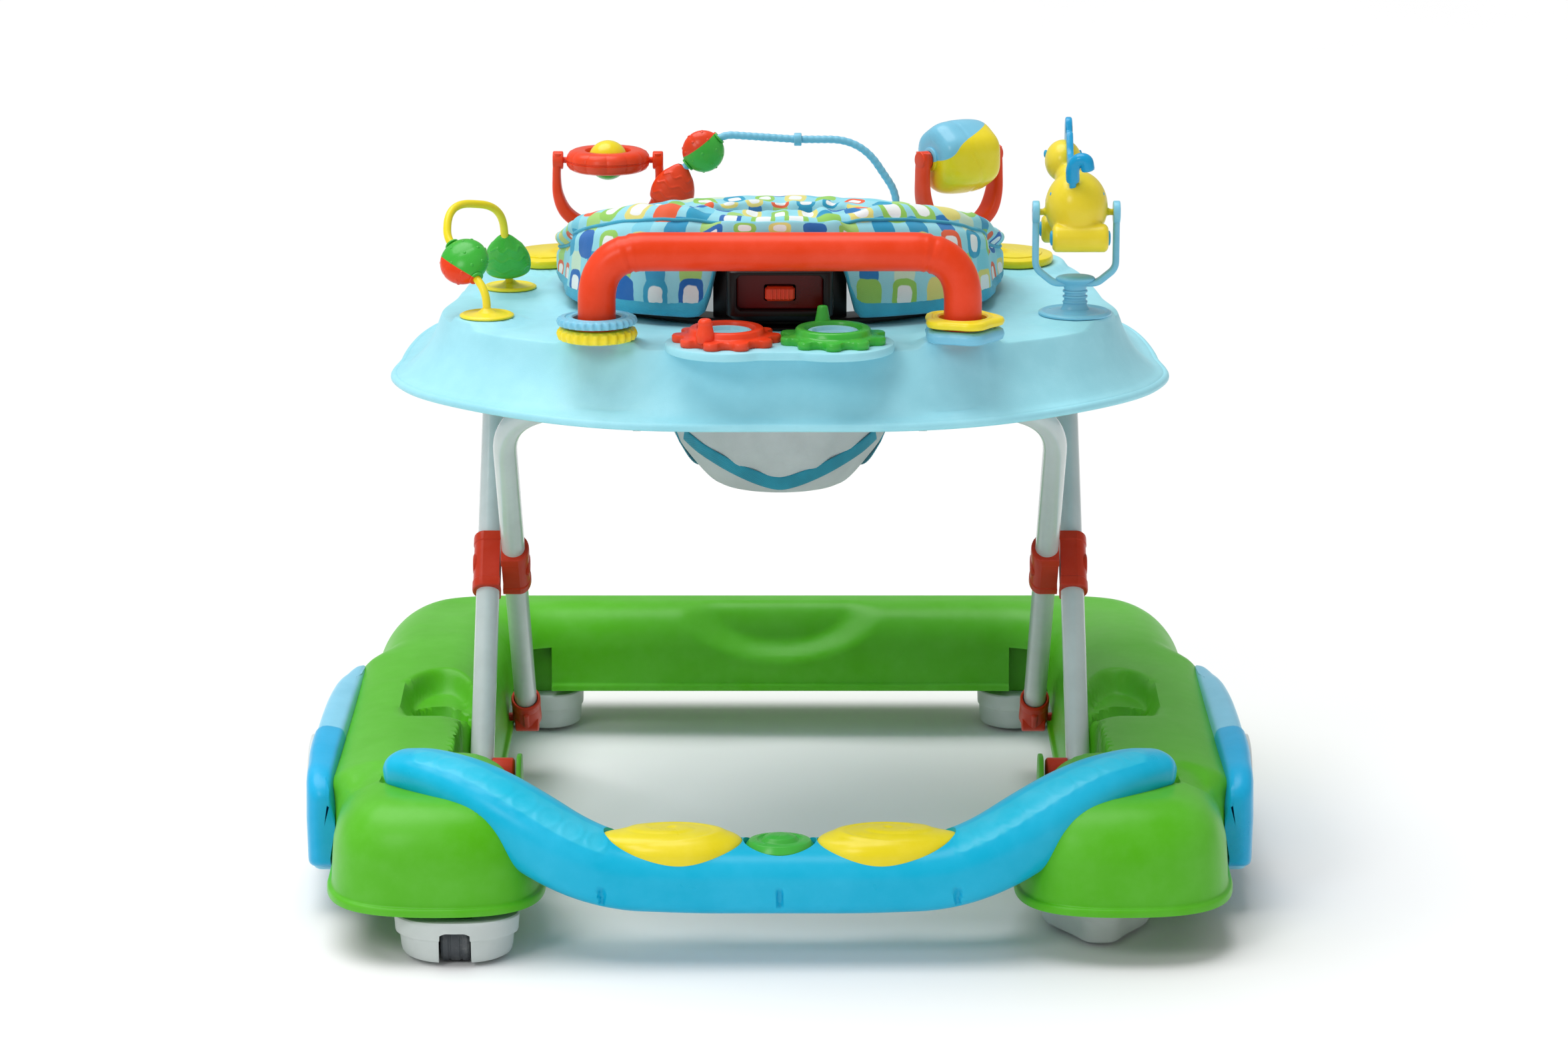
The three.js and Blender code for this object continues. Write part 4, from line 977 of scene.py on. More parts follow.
axle = soft_lathe([(0, -26), (3, -26), (3, 26), (0, 26)], 0.5, 20)
roller = joined([moved(tread, turn(90, "Y")), moved(axle, turn(90, "Y"))])
pod_grey = moulded("pod_grey", srgb(203, 211, 209), 0.38, grain=0.3)
roller_dark = rubber("roller_rubber", srgb(66, 71, 76))
for name, x, y, angle in CASTERS:
    where = at(x, y, 0) @ turn(angle, "Z")
    piece(f"pod_{name}", moved(pod_skin, where), pod_grey, f"caster_{name}",
          f"caster_pod_{name}", sharp=32, cuts=[moved(c, where) for c in pod_cuts], bevel=0.8)
    piece(f"pod_pin_{name}", [moved(stem, where), *(moved(c, where) for c in caps)],
          pod_grey, f"caster_{name}")
    piece(f"wheel_{name}", moved(roller, where @ at(0, -TRAIL, WHEEL_Z)), roller_dark,
          f"roller_{name}",
          f"caster_roller_{name}")

# ---------------------------------------------------------------- crossed legs
FOOT_SPAN = 153  # from the crossing to a foot, along Y
BEND_R = 58
TILT = math.atan2(CROSS_Z - FOOT_Z, FOOT_SPAN)
LEG_TOP_Z = 367
TOP_SPAN = (LEG_TOP_Z - FOOT_Z) / math.tan(TILT) - FOOT_SPAN
enamel = enamelled("tube_enamel", srgb(208, 217, 217))


def leg(end, x, start):
    foot, top = Vector((x, CROSS_Y + end * FOOT_SPAN,
                        FOOT_Z)), Vector((x, CROSS_Y - end * TOP_SPAN, LEG_TOP_Z))
    begin = foot + (top - foot).normalized() * start
    flip = lambda p: Vector((-p.x, p.y, p.z))
    line = filleted([begin, top, flip(top), flip(begin)], BEND_R, 16)
    return sweep(line, TUBE_R, 36, up=(1, 0, 0), round_ends=0.8)


def on_leg(part, end, sign, x, distance):
    """A part made along +Z about a leg's middle, laid along that leg at a distance from its foot."""
    lean = math.degrees(math.pi / 2 - TILT) * (1 if end > 0 else -1)
    y = CROSS_Y + end * (FOOT_SPAN - distance * math.cos(TILT))
    placed = moved(part, at(x, y, FOOT_Z + distance * math.sin(TILT)) @ turn(lean, "X"))
    return sided(placed, sign)


piece("tube_outer", leg(-1, LEG_OUTER_X, 18), enamel, "leg_outer", "leg_tube_outer", sharp=50)
piece("tube_inner", leg(1, LEG_INNER_X, 15), enamel, "leg_inner", "leg_tube_inner", sharp=50)

foot_red = moulded("foot_red", srgb(206, 52, 20), 0.36)


def tube_foot(length, r, width):
    sleeve = soft_lathe([(9.6, 14), (9.6, length), (r - 0.6, length), (r, length - 2),
                         (r, length - 9), (r - 1, length - 10.5),
                         (r - 0.4, 22), (r, 0), (0, -2), (0, 14), (9.6, 14)], 0.6, 40)
    knuckle = moved(soft_lathe([(0, -width / 2), (r, -width / 2), (r, width / 2), (0, width / 2)], 1.6, 40),
                    turn(90, "Y"))
    rib = block(0, -r + 1.5, length * 0.42, 5, 6, length * 0.62, 1.2)
    return [sleeve, knuckle, rib]


# The stop boss on the near foot's inner side, and the ear of the base that it turns beside.
stop_boss = moved(soft_lathe([(0, -1), (10.5, -1), (10.5, 14.5), (8.5, 16), (0, 16)], 1.4, 36),
                  turn(-90, "Y"))
near_bore = moved(soft_lathe([(0, -20), (4.9, -20), (4.9, 20), (0, 20)], 0.3, 24), turn(90, "Y"))
far_pin = moved(soft_lathe([(0, 0), (3.4, 0), (3.4, 15.6), (2.6, 16.4), (0, 16.4)], 0.5, 20),
                at(5, 0, 0) @ turn(90, "Y"))
for side, s in SIDES:
    boss = on_leg(moved(stop_boss, at(-9, 0, 0)), -1, s, LEG_OUTER_X, 47)
    piece(f"foot_near_{side}", [*(on_leg(p, -1, s, LEG_OUTER_X, 0) for p in tube_foot(58, 12.5, 22)), boss],
          foot_red, "leg_outer",
          f"near_foot_{side}", cuts=[on_leg(near_bore, -1, s, LEG_OUTER_X, 0)])
    piece(f"foot_far_{side}",
          [on_leg(p, 1, s, LEG_INNER_X, 0) for p in [*tube_foot(30, 11.8, 19), far_pin]], foot_red,
          "leg_inner", f"far_foot_{side}")


def collar(outward):
    """A sleeve with a rounded outer side and a flat one, a band round each end and a pivot boss."""
    a = np.linspace(-math.pi / 2, math.pi / 2, 30)
    w = 9.5
    outline = np.vstack([[(-w, -12.3), (w - 5, -12.3)], np.c_[w - 6 + 8.6 * np.cos(a), 12.3 * np.sin(a)],
                         [(w - 5, 12.3), (-w, 12.3)]])
    outline = resampled(outline, 1.3, closed=True)
    c = outline.mean(0)
    levels = [(0.0, -24), (0.93, -24), (0.985, -23.2), (1, -22), (1, -16.5), (0.95, -15.5),
              (0.95, 15.5), (1, 16.5), (1, 22),
              (0.985, 23.2), (0.93, 24), (0.0, 24)]
    body = skin([np.c_[c + (outline - c) * s, np.full(len(outline), z)] for s, z in levels])
    boss = moved(soft_lathe([(0, 0), (8.6, 0), (8.6, 2.6), (6.6, 3.4), (5.6, 2.4), (0, 2.6)], 0.6, 36),
                 at(8.6, 0, 0) @ turn(90, "Y"))
    parts = [body, boss]
    return parts if outward else [mirrored(p) for p in parts]


HALF_LEG = math.hypot(FOOT_SPAN, CROSS_Z - FOOT_Z)
for side, s in SIDES:
    piece(f"collar_outer_{side}", [on_leg(p, -1, s, LEG_OUTER_X, HALF_LEG) for p in collar(True)], foot_red,
          "leg_outer",
          f"outer_collar_{side}", sharp=30)
    piece(f"collar_inner_{side}", [on_leg(p, 1, s, LEG_INNER_X, HALF_LEG) for p in collar(False)], foot_red,
          "leg_inner",
          f"inner_collar_{side}", sharp=30)

rack_white = moulded("rack_white", WHITE, 0.4, grain=0.3)
for node in ("tube_rack_near", "tube_rack_far"):
    give(node, rack_white)

# ---------------------------------------------------------------- tray
TRAY_Y, RIM_Z, TRAY_TOP = -20.0, 380.0, 434.0
SEAT_Y, SEAT_R = -36.0, 143.0
MOUNDS = ((-145, 40, 16), (-35, 40, 16), (-117, 15, 6), (-63, 15, 6), (-90, 26, 10),
          (35, 30, 8), (145, 30, 8))


def tray_rim(a):
    x, y = np.cos(a), np.sin(a)
    near, far = np.maximum(-y, 0), np.maximum(y, 0)
    half_length = np.where(y < 0, 270.0, 292.0)
    side = mix(284, 262, smooth(-0.1, 0.8, y)) + 9 * smooth(0.1, 0.35, near) * (1 - smooth(0.45, 0.8, near))
    p = np.where(y < 0, 2.5, 2.3)
    r = 1 / (abs(x / side) ** p + abs(y / half_length) ** p) ** (1 / p)
    return r + 5 * np.cos(8 * a + math.pi) * (0.4 + 0.6 * far)


def tray_plateau(a):
    degrees = np.degrees(np.arctan2(np.sin(a), np.cos(a)))
    bumps = [height * np.exp(-(((degrees - mid) / (width / 2)) ** 2)) for mid, width, height in MOUNDS]
    return tray_rim(a) * 0.865 - 6 + np.max(bumps, axis=0)


TRAY_SLOPE = [(-0.012, -1.2), (-0.03, 1.6), (0.03, 4.2), (0.22, 7.0), (0.5, 17), (0.66, 25),
              (0.76, 31.6), (0.83, 37.6),
              (0.885, 43.2), (0.93, 47.4), (0.975, 50), (1.04, 51), (1.25, 52.0)]
# Raised seats for the toys: centre, half sizes, as rounded plateaus above the tray's slightly lower top.
BOSSES = ((-131, -236, 31, 31), (131, -236, 31, 31), (-215, -150, 24, 24), (-204, -38, 24, 24),
          (-138, 205, 22, 22), (-92, 184, 18, 18), (94, 184, 18, 18),
          (143, 198, 22, 22), (217, -140, 31, 31),
          (0, -200, 48, 20), (183, 78, 38, 46), (-183, 78, 38, 46))


def tray_top():
    a = TAU * np.arange(288) / 288
    rim, plateau = tray_rim(a), tray_plateau(a)
    rows = []
    for share, up in catmull(TRAY_SLOPE, 3):
        r = mix(rim, plateau, share)
        rows.append(np.stack([r * np.cos(a), TRAY_Y + r * np.sin(a), np.full(len(a), RIM_Z + up)], 1))
    last = rows[-1]
    hole = np.stack([SEAT_R * np.cos(a), SEAT_Y + SEAT_R * np.sin(a), np.full(len(a), TRAY_TOP - 0.4)], 1)
    for t in np.linspace(0, 1, 20)[1:]:
        rows.append(mix(last, hole, t))
    rows = np.stack(rows)
    p = rows.reshape(-1, 3)
    x, y, z = p.T
    on_top = smooth(RIM_Z + 48, RIM_Z + 51, z)
    raised = smooth(186, 178, np.hypot(x, y - SEAT_Y))
    for cx, cy, rx, ry in BOSSES:
        q = np.hypot((x - cx) / rx, (y - cy) / ry)
        raised = np.maximum(raised, smooth(1 + 4.0 / rx, 1 - 1.0 / rx, q))
    z = z + on_top * mix(-1.8, np.where(raised > 0.5, np.maximum(0, TRAY_TOP - 0.1 - z), 0), raised)
    # Dished hollows on the slope below the handle's feet.
    for cx in (-131, 131):
        q = np.hypot((x - cx) / 42, (y + 276) / 38)
        z = z - 7.5 * smooth(1.0, 0.45, q) * smooth(RIM_Z + 6, RIM_Z + 16, z) * smooth(-238, -250, y)
    return skin(np.stack([x, y, z], 1).reshape(rows.shape))


sky = moulded("tray_sky", SKY, 0.42, grain=0.35, glow=0.08)
a = TAU * np.arange(288) / 288
rim_r = tray_rim(a) + 0.6
rim_line = np.stack([rim_r * np.cos(a), TRAY_Y + rim_r * np.sin(a), np.full(288, RIM_Z + 1.0)], 1)
rim_roll = sweep(rim_line, 3.1, 16, closed=True)
piece("tray_top", tray_top(), sky, "tray", "tray_shell", sharp=60, wall=2.6)
piece("tray_rim", rim_roll, sky, "tray", sharp=60)
island = np.vstack([
    [(-38 + 44 * math.cos(t), -250 + 44 * math.sin(t))
     for t in np.linspace(math.radians(60), math.radians(300), 60)],
    [(38 + 44 * math.cos(t), -250 + 44 * math.sin(t))
     for t in np.linspace(math.radians(-120), math.radians(120), 60)],
])
island = plate(resampled(island, 3, closed=True), TRAY_TOP - 5, TRAY_TOP + 1.4, 1.6)
posts = [moved(soft_lathe([(0, 0), (19.4, 0), (19.4, 9.5), (17.4, 11), (15, 11), (14, 8), (0, 8)], 0.8, 48),
               at(sx * 38, -250, TRAY_TOP - 1))
         for sx in (-1, 1)]
piece("gear_island", [island, *posts], sky, "tray")

corner = resampled(catmull([(162, 44), (174, 37.5), (188, 36.5), (203, 46), (211, 62), (211, 84),
                            (199, 103), (182, 114), (164, 117.5),
                            (152, 112), (159, 96), (165, 78), (163, 58), (162, 44)], 6)[:-1], 2.0,
                   closed=True)
inset = corner.mean(0) + (corner - corner.mean(0)) * 0.72
for side, s in SIDES:
    parts = [plate(corner, TRAY_TOP + 0.3, TRAY_TOP + 6.8, 2.2),
             plate(inset, TRAY_TOP + 5, TRAY_TOP + 8.0, 1.2)]
    piece(f"corner_{side}", [sided(p, s) for p in parts], yellow, "tray",
          f"corner_plate_{side}")

# ---------------------------------------------------------------- seat ring, padded cover and sling
ring_profile = [(129, 404), (135.5, 404), (137, 411), (139, 420), (140, 431), (141.4, 434.8),
                (157, 434.9), (159, 436.4),
                (159, 439), (157.4, 440), (135, 440), (133, 438), (131, 420), (129, 404)]
piece("seat_rim", moved(lathe(filleted([(r, 0, z) for r, z in ring_profile], 0.8, 2)[:, [0, 2]], 120),
                        at(0, SEAT_Y, 0)),
      moulded("seat_rim_dark", srgb(34, 30, 30), 0.4), "tray", "seat_ring")

PAD_LOW = 442.5
GAP = 0.29
HEM_R, PAD_HEIGHT = 168, 55
PAD_FLOOR, BAND_FLOOR = 441.2, 441.0
PAD_SECTION = [(HEM_R, 0.0), (170.6, 0.14), (171.0, 0.34), (170.0, 0.60), (167.0, 0.80), (160.5, 0.94),
               (149, 1.0), (136, 0.965),
               (126.5, 0.85), (122, 0.62), (126, 0.42), (137, 0.26), (146, 0.12), (151, 0.0), (161, -0.01)]
PAD_RING, PAD_ROUND = 240, 56


def pad_top(a):
    return mix(484, 521, smooth(-0.2, 0.9, -np.sin(a)))


def pad_rows():
    """The padded ring as rows round the seat. Over the lock the skirt stops and only the roll runs on."""
    closed = np.array(PAD_SECTION + PAD_SECTION[:1], float)
    wrapped = np.vstack([closed[-2], closed, closed[1]])
    section = catmull(wrapped, 8)[8:-9]
    scale = section * (1, PAD_HEIGHT)
    s = np.r_[0, np.cumsum(np.linalg.norm(np.diff(scale, axis=0), axis=1))]
    even = np.linspace(0, s[-1], PAD_ROUND, endpoint=False)
    section = np.stack([np.interp(even, s, section[:, k]) for k in (0, 1)], 1)
    a = -math.pi / 2 + TAU * np.arange(PAD_RING) / PAD_RING
    from_gap = np.minimum(np.arange(PAD_RING), PAD_RING - np.arange(PAD_RING)) * TAU / PAD_RING
    low = 0.62 * smooth(GAP + 0.04, GAP - 0.02, from_gap)
    top = pad_top(a)
    t = mix(low[:, None], 1.0, section[None, :, 1])
    squared = (abs(np.cos(a)) ** 3 + abs(np.sin(a)) ** 3) ** (-1 / 3) - 1
    spread = 0.62 * squared * smooth(0.05, 0.5, -np.sin(a))
    r = section[None, :, 0] * (1 + spread[:, None] * smooth(140, 170, section[:, 0])[None, :])
    rows = np.stack([r * np.cos(a)[:, None], SEAT_Y + r * np.sin(a)[:, None],
                     mix(PAD_LOW, top[:, None], t)], 2)
    return rows, section, a


def surface_normals(rows):
    along = np.roll(rows, -1, 0) - np.roll(rows, 1, 0)
    across = np.roll(rows, -1, 1) - np.roll(rows, 1, 1)
    n = np.cross(along, across)
    return n / np.maximum(np.linalg.norm(n, axis=2)[..., None], 1e-9)


def simulated(rows, pressure, cap):
    """A closed cloth skin moved by simulation, with every point kept within cap of its start. The grid's
    faces turn inward, and the result is drawn in, not puffed up."""
    part = skin(rows, close_rows=True)
    mesh = bpy.data.meshes.new("cloth")
    mesh.from_pydata((part[0] * MM).tolist(), [], [tuple(int(i) for i in f) for f in part[1]])
    o = linked("cloth", mesh)
    m = o.modifiers.new("cloth", "CLOTH")
    c = m.settings
    c.quality = 6
    c.mass = 0.3
    c.tension_stiffness = c.compression_stiffness = 12
    c.shear_stiffness = 6
    c.bending_stiffness = 0.3
    c.use_pressure = True
    c.uniform_pressure_force = pressure
    c.effector_weights.gravity = 0
    m.point_cache.frame_start, m.point_cache.frame_end = 1, 20
    scene = bpy.context.scene
    for f in range(1, 21):
        scene.frame_set(f)
    bpy.context.view_layer.update()
    shaped = o.evaluated_get(bpy.context.evaluated_depsgraph_get()).to_mesh()
    points = np.array([v.co[:] for v in shaped.vertices]) / MM
    bpy.data.objects.remove(o)
    scene.frame_set(1)
    move = points - part[0]
    length = np.linalg.norm(move, axis=1)[:, None]
    return (part[0] + move * np.minimum(1, cap / np.maximum(length, 1e-9))).reshape(rows.shape)


def eased(rows, times):
    for _ in range(times):
        rows = 0.5 * rows + 0.25 * (np.roll(rows, 1, 0) + np.roll(rows, -1, 0))
    return rows


def cloth_piece(name, rows, material, values=(), stands_for=None, body="tray"):
    """A fabric skin from rows of points, with values stored on its points for its material."""
    part = skin(rows, close_rows=True)
    mesh = bpy.data.meshes.new(name)
    mesh.from_pydata((part[0] * MM).tolist(), [], [tuple(int(i) for i in f) for f in part[1]])
    o = linked(name, mesh)
    for key, value in dict(values).items():
        with_attribute(o, key, value)
    m = o.modifiers.new("finer", "SUBSURF")
    m.levels = m.render_levels = 1
    modified(o)
    bm = bmesh.new()
    bm.from_mesh(o.data)
    bmesh.ops.recalc_face_normals(bm, faces=bm.faces)
    mark_sharp(bm, 80)
    bm.to_mesh(o.data)
    bm.free()
    o.data.materials.append(material)
    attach(o, body)
    if stands_for:
        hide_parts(stands_for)
    return o


CELL = 25.0
CELLS_ROUND = 40


def printed_cotton():
    """Quilt print on aqua: rounded squares with coloured rings and pale middles, some of them solid."""
    t = Tree("seat_print")
    split = t.nodes.new("ShaderNodeSeparateXYZ")
    t.put(split.inputs[0], t.position())
    angle = t.math("ARCTAN2", t.math("SUBTRACT", split.outputs[1], SEAT_Y * MM), split.outputs[0])
    v = t.attribute("rise")
    u = t.math("MULTIPLY", angle, CELLS_ROUND / TAU)
    wobble = t.math("MULTIPLY", t.math("SUBTRACT", t.noise(160, 1), 0.5), 0.07)

    def squares(shift, seed, base, colours, least, ringed):
        """Rounded squares on a grid of bricks; ringed ones have pale middles, about a quarter stay plain."""
        height = t.math("ADD", v, shift)
        row = t.math("FLOOR", height)
        along = t.math("ADD", t.math("ADD", u, shift), t.math("MULTIPLY", t.math("MODULO", row, 2.0), 0.5))
        cell = t.node("ShaderNodeCombineXYZ", X=t.math("MODULO", t.math("FLOOR", along),
                                                       float(CELLS_ROUND)), Y=row, Z=seed)
        dice = t.nodes.new("ShaderNodeTexWhiteNoise")
        dice.noise_dimensions = "3D"
        t.put(dice.inputs["Vector"], cell)
        rolls = t.nodes.new("ShaderNodeSeparateColor")
        t.put(rolls.inputs[0], dice.outputs["Color"])
        fx = t.math("ABSOLUTE", t.math("SUBTRACT", t.math("FRACT", along), 0.5))
        fy = t.math("ABSOLUTE", t.math("SUBTRACT", t.math("FRACT", height), 0.5))
        q = t.math("ADD", t.math("POWER", t.math("ADD", t.math("POWER", fx, 3.2), t.math("POWER", fy, 3.2)),
                                 1 / 3.2), wobble)
        size = t.math("MULTIPLY_ADD", rolls.outputs[1], 0.08, least)
        ramp = t.nodes.new("ShaderNodeValToRGB")
        ramp.color_ramp.interpolation = "CONSTANT"
        while len(ramp.color_ramp.elements) < len(colours):
            ramp.color_ramp.elements.new(0.5)
        for i, (stop, colour) in enumerate(zip(ramp.color_ramp.elements, colours)):
            stop.position, stop.color = i / len(colours), srgb(*colour)
        t.put(ramp.inputs[0], rolls.outputs[0])
        shape = t.math("SUBTRACT", 1.0, t.step(t.math("SUBTRACT", q, size), -0.012, 0.012))
        tone = t.blend(shape, base, ramp.outputs[0])
        if not ringed:
            return tone
        inner = t.math("SUBTRACT", 1.0,
                       t.step(t.math("SUBTRACT", q, t.math("MULTIPLY", size, 0.60)), -0.012, 0.012))
        inner = t.math("MULTIPLY", inner, t.math("LESS_THAN", rolls.outputs[2], 0.76))
        return t.blend(inner, tone, srgb(240, 244, 244))

    under = [(120, 206, 228), (166, 214, 116), (24, 150, 196), (132, 214, 230), (150, 220, 234),
             (20, 120, 190), (206, 232, 206)]
    over = [(238, 92, 40), (146, 204, 80), (0, 100, 184), (228, 218, 120), (24, 158, 198),
            (150, 206, 90), (0, 100, 184)]
    tone = squares(0.5, 5.0, srgb(150, 220, 234), under, 0.26, False)
    tone = squares(0.0, 1.0, tone, over, 0.31, True)
    fade = t.step(t.noise(30, 4, 0.6), 0.3, 0.8)
    tone = t.blend(t.math("MULTIPLY", fade, 0.06), tone, srgb(206, 222, 226))
    thread = woven(t, t.math("MULTIPLY", angle, 0.17), t.math("MULTIPLY", v, CELL * MM), 0.0011)
    slub = t.noise(420, 3, 0.6)
    tone = t.blend(t.math("MULTIPLY", thread, 0.10), tone, srgb(90, 130, 140))
    crease = t.bump(t.noise(26, 4, 0.55), 0.35, 0.0035)
    normal = t.bump(t.math("ADD", thread, slub), 0.35, 0.0003, crease)
    t.finish(Base_Color=tone, Normal=normal, Roughness=0.86)
    t.shader.inputs["Sheen Weight"].default_value = 0.12
    t.shader.inputs["Sheen Roughness"].default_value = 0.45
    return t.material


def tape(name, colour):
    """Twill binding tape: fine slanting ribs."""
    t = Tree(name)
    split = t.nodes.new("ShaderNodeSeparateXYZ")
    t.put(split.inputs[0], t.position())
    slant = t.math("ADD", t.math("ADD", split.outputs[0], split.outputs[1]),
                   t.math("MULTIPLY", split.outputs[2], 1.4))
    rib = t.math("MULTIPLY_ADD", t.math("SINE", t.math("MULTIPLY", slant, TAU / 0.0016)), 0.5, 0.5)
    tone = t.blend(t.step(t.noise(60, 3), 0.3, 0.7), shade(colour, 0.88), shade(colour, 1.08))
    tone = t.blend(t.math("MULTIPLY", rib, 0.22), tone, shade(colour, 0.6))
    t.finish(Base_Color=tone, Normal=t.bump(t.math("ADD", rib, t.noise(700, 2)), 0.4, 0.0003),
             Roughness=0.84)
    t.shader.inputs["Sheen Weight"].default_value = 0.22
    return t.material


def plain_cloth(name, colour):
    t = Tree(name)
    split = t.nodes.new("ShaderNodeSeparateXYZ")
    t.put(split.inputs[0], t.position())
    round_it = t.math("MULTIPLY", t.math("ARCTAN2", t.math("SUBTRACT", split.outputs[1], SEAT_Y * MM),
                                         split.outputs[0]), 0.1)
    thread = woven(t, round_it, split.outputs[2], 0.0014)
    tone = t.blend(t.step(t.noise(24, 4), 0.3, 0.7), shade(colour, 0.9), shade(colour, 1.04))
    tone = t.blend(t.math("MULTIPLY", thread, 0.14), tone, shade(colour, 0.72))
    crease = t.bump(t.noise(34, 4, 0.6), 0.4, 0.003)
    t.finish(Base_Color=tone, Normal=t.bump(thread, 0.4, 0.0003, crease), Roughness=0.88)
    t.shader.inputs["Sheen Weight"].default_value = 0.2
    return t.material


teal = tape("binding_teal", srgb(40, 150, 176))
aqua = tape("binding_aqua", srgb(58, 172, 204))
print_cloth = printed_cotton()
start, pad_section, pad_angle = pad_rows()
pad_normal = surface_normals(start)
if (pad_normal[0, PAD_ROUND // 8] @ np.array([0, -1, 0])) < 0:
    pad_normal = -pad_normal
pad = start - 2.2 * pad_normal
pad = eased(simulated(pad, 4.0, 7.0), 2)
# Gathers round the inner side and the top, and a pulled-in seam under the roll.
rng = np.random.default_rng(7)
phase = rng.uniform(0, TAU, 9)
gather = sum(np.sin(k * pad_angle + phase[i]) for i,
             k in enumerate((17, 23, 31, 38, 47, 55, 64, 12, 8))) / 4.2
inner_side = smooth(158, 136, pad_section[:, 0])
pad_normal = surface_normals(pad)
if (pad_normal[0, PAD_ROUND // 8] @ np.array([0, -1, 0])) < 0:
    pad_normal = -pad_normal
# The roll's lower seam: half way up at the sides, and near the top over the handle side.
outside = np.arange(np.argmin(np.hypot(pad_section[:, 0] - HEM_R, PAD_HEIGHT * pad_section[:, 1])),
                    PAD_ROUND)
if pad_section[outside[0] + 2, 1] < pad_section[outside[0], 1]:
    raise ValueError("the section runs the other way")
outside = outside[: 1 + np.argmax(pad_section[outside, 1])]
seam_height = mix(0.56, 0.94, smooth(-0.05, 0.85, -np.sin(pad_angle)))
seam_at = np.interp(seam_height, pad_section[outside, 1], outside)
from_seam = np.arange(PAD_ROUND)[None, :] - seam_at[:, None]
groove = -3.4 * np.exp(-((from_seam / 1.2) ** 2)) + 2.6 * np.exp(-(((from_seam - 3.4) / 2.4) ** 2))
ripple = 2.1 * gather[:, None] * inner_side[None, :]
ripple += 0.9 * np.roll(gather, 31)[:, None] * (1 - inner_side)[None, :]
pad = pad + pad_normal * (ripple + groove)[..., None]
pad[..., 2] = np.maximum(pad[..., 2], PAD_FLOOR)
metric = pad_section * (1, PAD_HEIGHT)
rise = np.r_[0, np.cumsum(np.linalg.norm(np.diff(metric, axis=0), axis=1))] / CELL
cover = cloth_piece("seat_cover", pad, print_cloth, stands_for="seat_pad",
                    values={"rise": np.broadcast_to(rise, pad.shape[:2])})
low_at = np.floor(seam_at).astype(int)
ring = np.arange(PAD_RING)
share = (seam_at - low_at)[:, None]
piping_line = mix(pad[ring, low_at], pad[ring, low_at + 1], share) + pad_normal[ring, low_at] * 0.6
piping = sweep(eased(piping_line, 2), 1.3, 10, closed=True)
piece("seat_piping", piping, aqua, "tray", sharp=80)
# Binding folded over the skirt's lower edge.
hem = int(np.argmin(np.hypot(pad_section[:, 0] - HEM_R, PAD_HEIGHT * pad_section[:, 1])))
columns = [(hem + k) % PAD_ROUND for k in range(-2, 4)]
band = pad[:, columns] + pad_normal[:, columns] * np.array([0.2, 0.9, 1.1, 1.2, 1.1, -0.2])[None, :, None]
band[..., 2] = np.maximum(band[..., 2], BAND_FLOOR)
piece("skirt_binding", skin(np.concatenate([band, band[:1]]), close_columns=False), aqua, "tray",
      sharp=80, wall=0.6)

SLING = [(0, 283.4), (16, 283.2), (34, 283.8), (46, 285.2), (52, 288), (59, 295), (69, 308), (79, 322),
         (86.5, 338), (95, 362), (108, 396), (123, 434)]
LEG_Y, LEG_Z, LEG_R = -12.0, 346.0, 45.0


def sling_radius(z):
    table = np.array(SLING[3:], float)
    return np.interp(z, table[:, 1], table[:, 0])


def sling():
    """The bowl of cloth, with a leg opening on each side."""
    profile = resampled(catmull(SLING, 6), 3.2)
    a = TAU * np.arange(150) / 150
    gathers = 1.1 * np.sin(15 * a + 0.7) + 0.8 * np.sin(22 * a + 2.0)
    rows = []
    for r, z in profile:
        swell = r + gathers * smooth(40, 80, r) * smooth(440, 400, z) - 0.6
        rows.append(np.stack([swell * np.cos(a), SEAT_Y + 0.98 * swell * np.sin(a), np.full(150, z)], 1))
    rows = np.stack(rows)
    p, faces = skin(rows)
    inside = (np.hypot(p[:, 1] - LEG_Y, p[:, 2] - LEG_Z) < LEG_R) & (abs(p[:, 0]) > 30)
    faces = faces[~inside[faces].all(1)]
    kept = np.zeros(len(p), bool)
    kept[faces] = True
    snap = inside & kept
    dy, dz = p[snap, 1] - LEG_Y, p[snap, 2] - LEG_Z
    reach = LEG_R / np.hypot(dy, dz)
    y, z = LEG_Y + dy * reach, LEG_Z + dz * reach
    x = np.sqrt(np.maximum(sling_radius(z) ** 2 - ((y - SEAT_Y) / 0.98) ** 2, 0))
    p[snap] = np.stack([np.sign(p[snap, 0]) * x, y, z], 1)
    index = np.cumsum(kept) - 1
    return p[kept], index[faces]


sling_cloth = plain_cloth("sling_cloth", srgb(206, 212, 214))
sling_piece = piece("seat_bowl", sling(), sling_cloth, "tray", "seat_sling", sharp=80)


def on_sling(a, z, lift=0.0):
    r = sling_radius(z) + lift
    return np.stack([r * np.cos(a), SEAT_Y + 0.98 * r * np.sin(a), z], 1)


def ribbon(line, outward, width, lift=0.9):
    """A flat tape along a line, lying on a surface with the given outward directions."""
    t = np.gradient(line, axis=0)
    t /= np.linalg.norm(t, axis=1)[:, None]
    side = np.cross(t, outward)
    side /= np.linalg.norm(side, axis=1)[:, None]
    section = ((-1, -0.2), (-1, 0.6), (-0.9, 1.0), (-0.5, 1.15), (0.5, 1.15),
               (0.9, 1.0), (1, 0.6), (1, -0.2))
    rows = [line + side * (w * width / 2) + outward * (h * lift) for w, h in section]
    return skin(np.stack(rows, 1))


